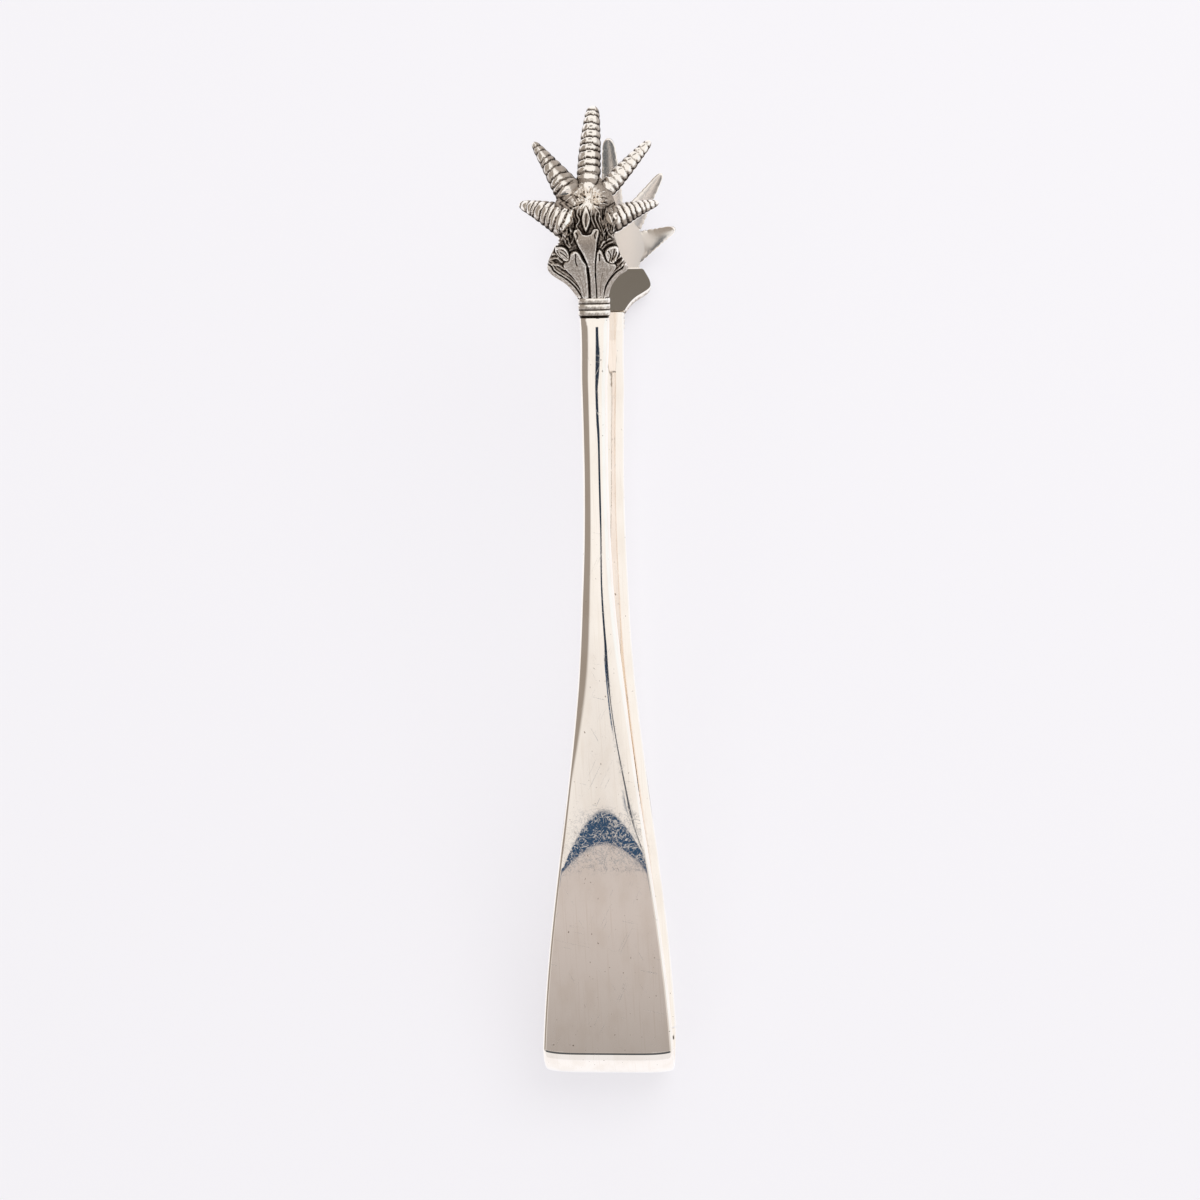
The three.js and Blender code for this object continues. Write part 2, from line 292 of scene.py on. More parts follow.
# %% Hair scratches
# Each scratch has its turn, its own scale and the scale of the noise that breaks it up.
STRAIGHT_SCRATCHES = ((0.5, 7000.0, 310.0), (-0.45, 9000.0, 380.0), (1.35, 8000.0, 450.0))
STRAIGHT_DRAWN = (1.0, 0.0125, 0.0125)
STRAIGHT_TOPS = (0.68, 0.75)
STRAIGHT_BITS = (0.5, 0.6)
SHORT_HAIRS = ((0.35, 2600.0, 900.0), (1.05, 3100.0, 1030.0), (1.75, 2300.0, 1160.0), (2.55, 2800.0, 1290.0))
HAIR_DRAWN = (1.0, 0.2, 0.2)
HAIR_EDGE = (0.008, 0.026)
HAIR_BITS = (0.44, 0.56)
HAIR_BIT_TURN = 0.8
NOISE_MIDDLE = 0.5
GRIP_FROM = (-0.0375, -0.034)
GRIP_TO = (-0.0298, -0.0272)
UNGRIPPED = 0.12


def gripped(tree, place):
    """Share of wear by fingers: full where they hold the cheeks, little elsewhere along the tongs."""
    axes = tree.nodes.new("ShaderNodeSeparateXYZ")
    tree.links.new(place, axes.inputs[0])
    along = axes.outputs["Y"]
    held = chain(tree, "MULTIPLY", ramp_node(tree, along, *GRIP_FROM), fall_node(tree, along, *GRIP_TO))
    return ramp_node(tree, held, 0.0, 1.0, UNGRIPPED, 1.0)


def hair_scratches(tree, place):
    """Share of each spot that is scratched: long straight hairs and short curled ones.

    A straight hair is the top of a noise drawn out eighty to one. A curled one is the line along which
    a noise drawn out five to one passes through its middle value. Both are broken up by slower noises,
    and the curled ones gather where the cheeks are held.
    """
    grip = gripped(tree, place)
    hairs = []
    for turn, scale, bit_scale in STRAIGHT_SCRATCHES:
        drawn = noise_node(tree, place, scale, STRAIGHT_DRAWN, turn, 1.0)
        bits = ramp_node(tree, noise_node(tree, place, bit_scale), *STRAIGHT_BITS)
        hairs.append(chain(tree, "MULTIPLY", ramp_node(tree, drawn, *STRAIGHT_TOPS), bits))
    for turn, scale, bit_scale in SHORT_HAIRS:
        drawn = noise_node(tree, place, scale, HAIR_DRAWN, turn, 1.0)
        lines = fall_node(tree, apart(tree, drawn, NOISE_MIDDLE), *HAIR_EDGE)
        bits = ramp_node(tree, noise_node(tree, place, bit_scale, turn=HAIR_BIT_TURN), *HAIR_BITS)
        hairs.append(chain(tree, "MULTIPLY", lines, bits, grip))
    return chain(tree, "MAXIMUM", *hairs)


print("hair scratches run in", len(STRAIGHT_SCRATCHES) + len(SHORT_HAIRS), "directions")

# %% Polished silver
SILVER = (0.95, 0.885, 0.815)
BROWNED = (0.9, 0.825, 0.745)
PIT = (0.4, 0.34, 0.29)
MOTTLING = dict(scale=520.0, stretch=(1.0, 0.3, 1.0), detail=4.0)
MOTTLING_RISE = (0.4, 0.75)
STREAKS = dict(scale=5200.0, stretch=(1.0, 0.02, 0.02), turn=0.04, detail=1.0)
STREAK_RISE = (0.56, 0.78)
PITS = dict(scale=2600.0, stretch=(1.0, 0.6, 1.0), detail=1.0)
PIT_RISE = (0.74, 0.8)
HAZE_SCALE = 420.0
HAZE_ROUGHNESS = 0.02
MIRROR_ROUGHNESS = 0.012
SCRATCH_ROUGHNESS = 0.24
SCRATCH_STRENGTH = 0.03
SCRATCH_DEPTH = 0.01 * MM


def polished_silver():
    """Mirror silver: hair scratches roughen and dent the mirror a little, and a few dark pits stay in it."""
    material, tree, shader, place = new_finish("polished_silver", metallic=1.0)
    colour = SILVER
    for noise, rise, stain in (
        (MOTTLING, MOTTLING_RISE, BROWNED), (STREAKS, STREAK_RISE, BROWNED), (PITS, PIT_RISE, PIT),
    ):
        colour = colour_mix(tree, ramp_node(tree, noise_node(tree, place, **noise), *rise), colour, stain)
    tree.links.new(colour, shader.inputs["Base Color"])
    scratches = hair_scratches(tree, place)
    rough = math_node(tree, "MULTIPLY_ADD", scratches, SCRATCH_ROUGHNESS, MIRROR_ROUGHNESS)
    haze = noise_node(tree, place, HAZE_SCALE)
    rough = math_node(tree, "MULTIPLY_ADD", haze, HAZE_ROUGHNESS, rough)
    tree.links.new(rough, shader.inputs["Roughness"])
    dent(tree, shader, scratches, SCRATCH_STRENGTH, SCRATCH_DEPTH, sunk=True)
    return material


bright_finish = polished_silver()
print("made", bright_finish.name, "with", len(bright_finish.node_tree.nodes), "nodes")

# %% Oxidised silver
TARNISH = (0.026, 0.017, 0.012)
DULL_SILVER = (0.44, 0.375, 0.32)
DULL_RISE = (0.1, 0.5)
RUBBED_SILVER = (0.95, 0.89, 0.82)
RUBBED_RISE = (0.56, 0.95)
GRAIN = dict(scale=5200.0, detail=3.0)
GRAIN_SHAKE = 0.44
GLOSS = (0.6, 1.1, 0.52, 0.1)
SATIN = (1.5, 1.7, 0.0, 0.1)
SAND = dict(scale=9000.0, detail=3.0)
SAND_FADE = (0.85, 1.0)
SAND_STRENGTH = 0.35
SAND_DEPTH = 0.02 * MM
MIRROR_WEAR = 1.15
SATIN_WEAR = 2.0


def oxidised_silver():
    """Cast silver: tarnish in the cuts, dull metal on the leaves and rubbed metal on the high edges.

    The attribute, shaken by a fine noise, picks the colour; roughness falls as it rises, and comes back
    a little past 1.5, on the brushed insides of the talons. Besides the worn tone the attribute holds
    painted shade on the talons, which the tarnish and dull colours show, and a painted highlight on the
    reeds, which the rubbed colour shows.
    """
    material, tree, shader, place = new_finish("oxidised_silver", metallic=1.0)
    attribute = tree.nodes.new("ShaderNodeAttribute")
    attribute.attribute_name = "wear_and_painted_light"
    grain = noise_node(tree, place, **GRAIN)
    shaken = math_node(tree, "MULTIPLY_ADD", grain, GRAIN_SHAKE, attribute.outputs["Fac"])
    wear_and_painted_light = math_node(tree, "SUBTRACT", shaken, GRAIN_SHAKE / 2)
    # Tarnish, dull and rubbed colours; on the talons they also paint shade, and on the reeds a highlight.
    colour = colour_mix(tree, ramp_node(tree, wear_and_painted_light, *DULL_RISE), TARNISH, DULL_SILVER)
    colour = colour_mix(tree, ramp_node(tree, wear_and_painted_light, *RUBBED_RISE), colour, RUBBED_SILVER)
    tree.links.new(colour, shader.inputs["Base Color"])
    rough = math_node(tree, "ADD", ramp_node(tree, wear_and_painted_light, *GLOSS), ramp_node(tree, wear_and_painted_light, *SATIN))
    tree.links.new(rough, shader.inputs["Roughness"])
    sand = chain(tree, "MULTIPLY", noise_node(tree, place, **SAND), fall_node(tree, wear_and_painted_light, *SAND_FADE))
    dent(tree, shader, sand, SAND_STRENGTH, SAND_DEPTH)
    return material


claw_finish = oxidised_silver()
print("made", claw_finish.name, "with", len(claw_finish.node_tree.nodes), "nodes")

# %% [markdown]
# ## Bow spring
# The bow is a strip of sheet bent round between the two cheeks. It meets each cheek in a crease, which
# shows as a fine dark line, because the tight bend there mirrors the darker part of the room. A path of
# arcs gives the bend its true radius: a wide arc for the bow, a tight one at each crease.

# %% Section of the sheet
SHEET = 1.0
EDGE_ROUND = 0.5
SHANK_ROUND = 0.2
INNER_EDGE = 0.2
INNER_ROUND = 1.3
INNER_LIFT = 0.17
CHEEK_HALF_WIDTH = 8.5


def rounded_face(half_width, radius, steps=64, corner_steps=9):
    """Places x across one face from right to left, and its drop, with a quarter round at both ends."""
    quarter = np.linspace(0, np.pi / 2, corner_steps)[None, :-1]
    corner_x = half_width - radius * (1 - np.cos(quarter))
    corner_drop = radius * (1 - np.sin(quarter))
    flat_x = (half_width - radius) * np.cos(np.linspace(0, np.pi, steps))
    x = np.concatenate([corner_x, flat_x, -corner_x[:, ::-1]], axis=1)
    return x, np.concatenate([corner_drop, np.zeros_like(flat_x), corner_drop[:, ::-1]], axis=1)


def slab_section(half_width, edge, crown, outer_round):
    """Ring (x, out) of a sheet with rounded edges, flat inside and crowned outside.

    The outside is edge plus crown times the half ellipse over x, less its rounded ends. The inside
    lifts a little towards its edges, by INNER_LIFT over the last INNER_ROUND. The arguments may be
    arrays with one value for each row.
    """
    rows = np.broadcast_arrays(*(np.atleast_1d(value) for value in (half_width, edge, crown, outer_round)))
    half_width, edge, crown, outer_round = (value[:, None].astype(float) for value in rows)
    outer_x, outer_drop = rounded_face(half_width, outer_round)
    outer = edge + crown * half_round(outer_x / half_width) - outer_drop
    inner_x, inner_drop = rounded_face(half_width, np.full_like(half_width, INNER_EDGE))
    lift = INNER_LIFT * np.clip(1 - (half_width - np.abs(inner_x)) / INNER_ROUND, 0, 1) ** 2
    inner = inner_drop + lift - SHEET / 2
    x = np.concatenate([outer_x, inner_x[:, ::-1]], axis=1)
    return np.stack([x, np.concatenate([outer, inner[:, ::-1]], axis=1)], axis=-1)


print("sheet section has", slab_section(CHEEK_HALF_WIDTH, SHEET / 2, 0.0, EDGE_ROUND).shape[1], "points")

# %% Path and skin of the bow
BOW_HALF_TURN = math.radians(65)
CREASE_RADIUS = 0.9
CREASE_TURN = math.pi / 2 - REST_ANGLE - BOW_HALF_TURN
BOW_RADIUS = BOW_HALF_GAP / math.sin(BOW_HALF_TURN)
CREASE_REACH = CREASE_RADIUS * math.tan(CREASE_TURN / 2)
BOW_ARCH = 0.45
ARCH_POWER = 6


def bow_path(steps=97, crease_steps=13):
    """Side view of the bow from the upper cheek to the lower one: points and headings.

    An arc turns by its length over its radius, so the heading is summed along the path and the points
    are the running sum of the small steps in that heading.
    """
    wide = BOW_HALF_TURN - CREASE_REACH / BOW_RADIUS
    counts = [crease_steps, steps, crease_steps]
    turns = np.repeat([CREASE_TURN / crease_steps, 2 * wide / steps, CREASE_TURN / crease_steps], counts)
    radii = np.repeat([CREASE_RADIUS, BOW_RADIUS, CREASE_RADIUS], counts)
    headings = math.pi + REST_ANGLE + np.concatenate([[0.0], np.cumsum(turns)])
    middles = (headings[:-1] + headings[1:]) / 2
    chords = 2 * radii * np.sin(turns / 2)
    steps_yz = chords[:, None] * np.stack([np.cos(middles), np.sin(middles)], axis=-1)
    start = side_point(np.array([0.0, BOW_HALF_GAP]), REST_ANGLE, CREASE_REACH, 0.0)
    points = start + np.concatenate([[[0.0, 0.0]], np.cumsum(steps_yz, axis=0)])
    return points, headings


def edge_arch(x, half_width):
    """Reach of the bow's middle past its edges: one less the sixth power of x over the half width."""
    return BOW_ARCH * (1 - (x / half_width) ** ARCH_POWER)


def bow_rings():
    """Sheet section carried round the bow; its middle stands proud of its edges by BOW_ARCH.

    At each seam the arch points along the cheek there, and it swings over from the one to the other
    round the bow.
    """
    points, headings = bow_path()
    section = slab_section(CHEEK_HALF_WIDTH, SHEET / 2, 0.0, EDGE_ROUND)[0]
    out = side_point(points[:, None, :], headings[:, None], 0.0, -section[None, :, 1])
    x = np.broadcast_to(section[:, 0], out.shape[:2])
    arch = edge_arch(x, CHEEK_HALF_WIDTH)
    swing = np.linspace(1, -1, len(points))[:, None]
    y = out[..., 0] - arch * math.cos(REST_ANGLE)
    z = out[..., 1] - arch * math.sin(REST_ANGLE) * swing
    return np.stack([x, y, z], axis=-1)


skin("bow_spring_skin", bow_rings(), "bow", ["bow_spring"], bright_finish)

# %% [markdown]
# ## Arms
# Each arm starts as a flat cheek as wide as the bow, narrows to a slim waist and swells a little at the
# collar. The flat facet of the cheek ends in an arch, where the sheet folds over by a few degrees. From
# there the outside rises into a crown, so the flat mirror turns into the long bright lights of the
# shank. The plan and the side view are both Bezier curves, and the section is the same rounded sheet
# with more and more crown.

# %% Shape of an arm
CHEEK_LENGTH = 16.0
SHOULDER = (25.0, 7.1)
WAIST_AT = 77.0
WAIST_REACH = 34.0
WAIST_HALF_WIDTH = 1.55
COLLAR_HALF_WIDTH = 1.8
ARM_END = np.array([93.8, 17.0])
ARM_END_ANGLE = math.radians(6.5)
CROWN_START = 20.0
CROWN_FULL_AT = 56.0
CROWN_HEIGHT = 0.95
EDGE_THICKNESS = 0.7
STOP_LENGTH = 0.05
STOP_BEVEL = 0.85
STOP_CROWN = 0.74
ARM_SWAY = 0.2
SWAY_FROM = (46.0, 62.0)
SWAY_TO = (86.0, 93.0)
FACET_MIDDLE = 0.35
INNER_ARCH = (26.3, 0.05)
OUTER_ARCH = (36.2, 0.36)
LEAST_SPAN = 0.4
FOLD_SLOPE = 0.062
FOLD_REACH = 9.0
FOLD_FADE = (44.0, 82.0)


def cheek_fold(x, station):
    """Drop of the surface beyond the flat facet of the cheek, which ends in an arch.

    The surface bends between two arches, each its apex less its bend times x squared: the slope grows
    from nothing to FOLD_SLOPE as a smooth step, whose running sum is t cubed less half of t to the
    fourth. The drop then levels off and fades up the shank.
    """
    squared = (x - FACET_MIDDLE) ** 2
    inner = INNER_ARCH[0] - INNER_ARCH[1] * squared
    span = np.maximum(OUTER_ARCH[0] - OUTER_ARCH[1] * squared - inner, LEAST_SPAN)
    past = np.maximum(station - inner, 0.0) / span
    share = np.minimum(past, 1.0)
    run = span * (share**3 - share**4 / 2 + np.maximum(past - 1.0, 0.0))
    return FOLD_SLOPE * FOLD_REACH * (1 - np.exp(-run / FOLD_REACH)) * (1 - smooth(station, *FOLD_FADE))


def arm_path(steps=4000):
    """Side view of an arm: the straight cheek, then a Bezier curve to the collar.

    Returns the distance along the path and the points, both finely stepped.
    """
    seam = np.array([0.0, BOW_HALF_GAP])
    cheek_end = side_point(seam, REST_ANGLE, CHEEK_LENGTH, 0.0)
    pull = np.linalg.norm(ARM_END - cheek_end) / 3
    curve = bezier([
        cheek_end,
        side_point(cheek_end, REST_ANGLE, pull, 0.0),
        side_point(ARM_END, ARM_END_ANGLE, -pull, 0.0),
        ARM_END,
    ], steps)
    points = np.concatenate([[seam], curve])
    lengths = np.concatenate([[0.0], np.cumsum(np.linalg.norm(np.diff(points, axis=0), axis=1))])
    return lengths, points


print("an arm is", round(arm_path()[0][-1], 2), "mm long")

# %% Sections and skins of the arms
TAPER_STEPS = 400
BEVEL_STEPS = 9
STOP_STEPS = 7
HEADING_STEP = 0.05


def along_path(stations, lengths, points):
    """Points (y, z) of a stepped path at some distances along it."""
    return np.stack([np.interp(stations, lengths, column) for column in points.T], axis=-1)


def outer_half(section):
    """True for the points on the outside of each ring, which are the first half of them."""
    count = section.shape[1]
    return (np.arange(count) < count // 2)[None, :]


def arm_section(stations, stop):
    """Section of the arm at each station, and its half width: the taper, the crown and the fold.

    The stop is given by the stations at which its bevel starts and ends.
    """
    waist_from = (WAIST_AT - WAIST_REACH, WAIST_HALF_WIDTH)
    taper = bezier([(0, CHEEK_HALF_WIDTH), SHOULDER, waist_from, (WAIST_AT, WAIST_HALF_WIDTH)], TAPER_STEPS)
    swell = np.clip((stations - WAIST_AT) / (stop[0] - WAIST_AT), 0, 1)
    half_width = np.interp(stations, taper[:, 0], taper[:, 1])
    half_width = half_width + (COLLAR_HALF_WIDTH - WAIST_HALF_WIDTH) * swell**2
    rise = smooth(stations, CROWN_START, CROWN_FULL_AT)
    edge = mix(SHEET, EDGE_THICKNESS, rise) - SHEET / 2
    crown = rise * mix(CROWN_HEIGHT, STOP_CROWN, smooth(stations, *stop))
    section = slab_section(half_width, edge, crown, mix(EDGE_ROUND, SHANK_ROUND, rise))
    fold = cheek_fold(section[..., 0], stations[:, None])
    bend = cheek_fold(FACET_MIDDLE, stations)[:, None]
    section[..., 1] -= np.where(outer_half(section), fold, bend)
    return section, half_width


def arm_rings(rows=300):
    """Sections of an arm at stations from the crease to the stop before the collar.

    The shank was bent by hand and sways a little to one side, by ARM_SWAY at most. The arch of the
    bow's edge goes on into the cheek and fades over its length.
    """
    lengths, points = arm_path()
    total = lengths[-1]
    stop = (total - STOP_LENGTH - STOP_BEVEL, total - STOP_LENGTH)
    stations = np.concatenate([
        np.linspace(CREASE_REACH, stop[0], rows),
        np.linspace(*stop, BEVEL_STEPS)[1:],
        np.linspace(stop[1], total, STOP_STEPS)[1:],
    ])
    section, half_width = arm_section(stations, stop)
    place = along_path(stations, lengths, points)
    ahead = along_path(stations + HEADING_STEP, lengths, points)
    behind = along_path(stations - HEADING_STEP, lengths, points)
    angle = np.arctan2(*(ahead - behind)[:, ::-1].T)[:, None]
    out = side_point(place[:, None, :], angle, 0.0, section[..., 1])
    arch_fade = 1 - smooth(stations, CREASE_REACH, CHEEK_LENGTH)
    arch = edge_arch(section[..., 0], half_width[:, None]) * arch_fade[:, None]
    sway = ARM_SWAY * smooth(stations, *SWAY_FROM) * (1 - smooth(stations, *SWAY_TO))
    return np.stack([
        section[..., 0] - sway[:, None],
        out[..., 0] - arch * np.cos(angle),
        out[..., 1] - arch * np.sin(angle),
    ], axis=-1)


skin_arms("arm_skin", arm_rings(), ["arm"], bright_finish)

# %% [markdown]
# ## Reeded collars
# A collar of three round reeds hides the joint between the arm and its claw. It could be three rings set
# side by side, but on a casting they are one piece: the arm's own section swells and shrinks three
# times. A deep seam parts it from the arm, and tarnish stays in the seam and between the reeds. A bright
# line along one side of each reed is a painted highlight.

# %% Collar
COLLAR_LENGTH = 2.5
COLLAR_CROWN = 0.95
COLLAR_PROUD = 0.15
SEAM_SHARE = 0.11
SEAM_DEPTH = 0.22
REED_COUNT = 3
REED_HEIGHT = 0.2
REED_ROUND = 0.45
REED_SPREAD = 0.6
REED_EDGE = (0.4, 0.8)
REED_HIGHLIGHT_AT = 0.72
REED_HIGHLIGHT_SPREAD = 0.02
GROOVE_WEAR = 0.1
REED_WEAR = 0.64
REED_HIGHLIGHT_LIFT = 0.3
REED_WAVES = ((0.07, 7, 9), (0.05, 17, -21))


def collar_rings(rows=121):
    """Section of the arm whose crown and width swell by a power of a sine for each reed.

    The inside stays plain and flush with the arm. Returns the rings and their worn tone, which falls to
    almost nothing in the seam and in the grooves, and rises along one side of each reed in a line of
    painted highlight.
    """
    share = np.linspace(0, 1, rows)
    reeds = np.clip((share - SEAM_SHARE) / (1 - SEAM_SHARE), 0, 1)
    wave = np.abs(np.sin(REED_COUNT * np.pi * reeds)) ** REED_ROUND
    seam = 1 - smooth(share, SEAM_SHARE / 2, SEAM_SHARE)
    swell = REED_HEIGHT * (wave - 1) - SEAM_DEPTH * seam
    edge = np.full(rows, EDGE_THICKNESS - SHEET / 2)
    half_width = COLLAR_HALF_WIDTH + COLLAR_PROUD + REED_SPREAD * swell
    reeded = slab_section(half_width, edge, COLLAR_CROWN + swell, SHANK_ROUND)
    plain = slab_section(np.full(rows, COLLAR_HALF_WIDTH), edge, COLLAR_CROWN, SHANK_ROUND)
    outside = outer_half(reeded)
    section = np.where(outside[..., None], reeded, plain)
    start = np.broadcast_to(ARM_END, (rows, 1, 2))
    out = side_point(start, ARM_END_ANGLE, (share * COLLAR_LENGTH)[:, None], section[..., 1])
    # Painted highlight: a bright line along one side of each reed.
    ridge = np.exp(-((REED_COUNT * reeds) % 1 - REED_HIGHLIGHT_AT) ** 2 / REED_HIGHLIGHT_SPREAD)[:, None]
    across = section[..., 0]
    uneven = sum(size * np.sin(a * across + b * share[:, None]) for size, a, b in REED_WAVES)
    worn = smooth(wave, *REED_EDGE)[:, None] * (REED_WEAR + REED_HIGHLIGHT_LIFT * ridge + uneven)
    wear_and_painted_light = np.where(outside, GROOVE_WEAR + worn, MIRROR_WEAR)
    return spatial(across, out), wear_and_painted_light


rings, wear_and_painted_light = collar_rings()
skin_arms("collar_skin", rings, ["collar"], claw_finish, wear_and_painted_light)

# %% [markdown]
# ## Carving tools
# The claw is cast with leaves, ribs and strokes in low relief. Bump in a material would only pretend, so
# the relief is real: a height over the plan of the claw, made with a few tools that a carver would
# know. A stroke is a ridge or a cut along a line, and a leaf is a raised plate with a rounded shoulder
# inside an outline. Both come from the distance of every grid point to a curve, worked out at once.


# %% Distances and strokes
TINY = 1e-12
BELL_REACH = 3


def through(points, steps=8, closed=False):
    """Smooth line through a few points: a Catmull-Rom curve, half the sum of the four weighted corners."""
    points = np.array(points, float)
    before, after = (points[-1:], points[:2]) if closed else (points[:1], points[-1:])
    padded = np.concatenate([before, points, after])
    a, b, c, d = padded[:-3], padded[1:-2], padded[2:-1], padded[3:]
    t = np.linspace(0, 1, steps, endpoint=False)[:, None, None]
    curve = 0.5 * (2 * b + (c - a) * t + (2 * a - 5 * b + 4 * c - d) * t**2 + (3 * b - a - 3 * c + d) * t**3)
    line = curve.transpose(1, 0, 2).reshape(-1, 2)
    return np.concatenate([line, line[:1]] if closed else [line, points[-1:]])


def distance(line, x, s):
    """Least distance from each grid point to a line of short segments."""
    least = np.full(x.shape, np.inf)
    for (ax, ay), (bx, by) in zip(line[:-1], line[1:]):
        dx, dy = bx - ax, by - ay
        share = np.clip(((x - ax) * dx + (s - ay) * dy) / (dx * dx + dy * dy + TINY), 0, 1)
        least = np.minimum(least, np.hypot(x - ax - share * dx, s - ay - share * dy))
    return least


def depth_inside(line, x, s):
    """Distance to a closed line, positive inside it: a point is inside where a ray crosses it an odd
    number of times."""
    crossings = np.zeros(x.shape, int)
    for (ax, ay), (bx, by) in zip(line[:-1], line[1:]):
        spans = (ay > s) != (by > s)
        crossings += spans & (x < ax + (s - ay) * (bx - ax) / (by - ay + TINY))
    return np.where(crossings % 2 == 1, 1.0, -1.0) * distance(line, x, s)


def stroke(points, width, x, s):
    """Ridge of height 1 along a smooth line: the bell curve of the distance over the width.

    It is worked out only near the box round the line, and is nothing elsewhere.
    """
    line = through(points)
    reach = BELL_REACH * width
    low, high = line.min(axis=0) - reach, line.max(axis=0) + reach
    near = (x > low[0]) & (x < high[0]) & (s > low[1]) & (s < high[1])
    ridge = np.zeros(x.shape)
    ridge[near] = bell(distance(line, x[near], s[near]), width)
    return ridge


print("a smooth line through three points has", len(through([(0, 0), (1, 1), (2, 0)])), "points")

# %% Leaves and averages
LEAF_CUT = 0.13
LEAF_CUT_WIDTH = 0.08
LEAF_BEAD = 0.06
LEAF_BEAD_WIDTH = 0.08
LEAF_SHOULDER = 0.16
GROUND_SHARE = 0.25
MERGED_LEVEL = 0.3
HEM_FADE = 0.5


def lay_leaf(height, outline, level, hem, x, s):
    """Height with a leaf laid on it: a quarter round shoulder, a fine bead inside the edge and a narrow
    cut round it that sets it off from the ground. Below its hem the leaf merges with its neighbours,
    and only the greater height is kept."""
    depth = depth_inside(through(outline, closed=True), x, s)
    round_up = half_round(1 - np.clip(depth / LEAF_SHOULDER, 0, 1))
    edge_bead = LEAF_BEAD * bell(depth - LEAF_SHOULDER, LEAF_BEAD_WIDTH)
    around = height - LEAF_CUT * bell(np.minimum(depth, 0), LEAF_CUT_WIDTH)
    raised = np.maximum(height, 0) * GROUND_SHARE + level * round_up + edge_bead
    parted = np.where(depth > 0, raised, around)
    merged = np.maximum(height, MERGED_LEVEL * round_up * (depth > 0))
    return mix(merged, parted, smooth(s, hem - HEM_FADE, hem + HEM_FADE))


def blurred(values, radius):
    """Values averaged with a bell curve of that many grid steps, first along rows and then columns."""
    reach = BELL_REACH * radius
    weights = bell(np.arange(-reach, reach + 1), radius)
    weights = weights / weights.sum()
    for axis in (0, 1):
        widths = [(0, 0), (0, 0)]
        widths[axis] = (reach, reach)
        padded = np.pad(values, widths, mode="edge")
        spots = np.arange(values.shape[axis])
        values = sum(weight * np.take(padded, spots + i, axis=axis) for i, weight in enumerate(weights))
    return values


def soft_max(first, second, blend):
    """Greater of two heights with a rounded meeting: half of the sum plus the root of the squared
    difference and the squared blend."""
    return (first + second + np.sqrt((first - second) ** 2 + blend**2)) / 2


print("a leaf has a shoulder of", LEAF_SHOULDER, "mm and a cut of", LEAF_CUT, "mm round it")

# %% [markdown]
# ## Claw body: leaf capital and palm
# The capital flares out of the collar, and at the knuckle the casting bends in and becomes the palm that
# carries the talons. A tall leaf runs up the capital and laps over the knuckle, so both are carved as
# one skin. The places of the leaves are measured on the face: x across, s up from the collar.

# %% Side view and outline of the claw body
CAPITAL_GAP = 0.05
CAPITAL_START = side_point(ARM_END, ARM_END_ANGLE, COLLAR_LENGTH + CAPITAL_GAP, 0.0)
CAPITAL_ANGLE = math.radians(29)
CAPITAL_LENGTH = 7.0
PALM_ANGLE = math.radians(-14)
FACE_HEIGHT = 1.0
BACK_DEPTH = 0.45
KNUCKLE_RADIUS = 0.75
KNUCKLE_BEND = CAPITAL_ANGLE - PALM_ANGLE
KNUCKLE = side_point(CAPITAL_START, CAPITAL_ANGLE, CAPITAL_LENGTH, 0.0)
STRAIGHT = CAPITAL_LENGTH - KNUCKLE_RADIUS * math.tan(KNUCKLE_BEND / 2)
BEND_END = STRAIGHT + (KNUCKLE_RADIUS + FACE_HEIGHT) * KNUCKLE_BEND
PALM_AT = BEND_END - KNUCKLE_RADIUS * math.tan(KNUCKLE_BEND / 2)
PALM_LENGTH = 8.6
PALM_END = PALM_AT + PALM_LENGTH

LEFT_OUTLINE = [
    (0.0, 1.95), (0.6, 2.25), (1.4, 2.75), (2.2, 3.5), (2.95, 4.55), (3.5, 5.2), (4.0, 5.45), (4.6, 5.38),
    (5.3, 5.12), (6.6, 4.45), (7.1, 4.1), (7.8, 3.85), (8.8, 4.0), (10.5, 4.6), (12.5, 4.35),
    (13.6, 3.6), (14.6, 2.9), (15.6, 1.9), (16.6, 0.9),
]
RIGHT_OUTLINE = [
    (0.0, 1.75), (0.6, 1.9), (1.4, 2.12), (2.0, 2.42), (2.7, 2.9), (3.2, 3.4), (3.7, 4.15), (4.1, 4.32),
    (4.9, 3.87), (5.6, 3.46), (6.5, 3.23), (7.9, 2.91), (8.6, 2.75), (10.6, 3.3), (12.4, 2.9),
    (13.6, 2.5), (14.6, 2.3), (15.6, 1.2), (16.6, 0.6),
]


def claw_spine(s):
    """Point (y, z) and angle of the middle of the claw's wall for each distance s along its face.

    The wall runs straight up the capital, round the knuckle and straight along the palm. In the bend
    the face is further from the centre than the middle, so s runs faster there than the middle does.
    """
    bent = STRAIGHT + KNUCKLE_RADIUS * KNUCKLE_BEND
    beyond_all = 20.0
    middle = np.interp(
        s, [0, STRAIGHT, BEND_END, BEND_END + beyond_all], [0, STRAIGHT, bent, bent + beyond_all],
    )
    angle = CAPITAL_ANGLE - np.clip((middle - STRAIGHT) / KNUCKLE_RADIUS, 0, KNUCKLE_BEND)
    bend_start = side_point(CAPITAL_START, CAPITAL_ANGLE, STRAIGHT, 0.0)
    centre = side_point(bend_start, CAPITAL_ANGLE, 0.0, -KNUCKLE_RADIUS)
    point = side_point(centre[None], angle, 0.0, KNUCKLE_RADIUS)
    before = np.minimum(middle - STRAIGHT, 0)
    beyond = np.maximum(middle - bent, 0)
    return side_point(point, angle, before + beyond, 0.0), angle


print("claw face:", round(PALM_END, 2), "mm long, bent by", round(math.degrees(KNUCKLE_BEND), 1), "degrees")

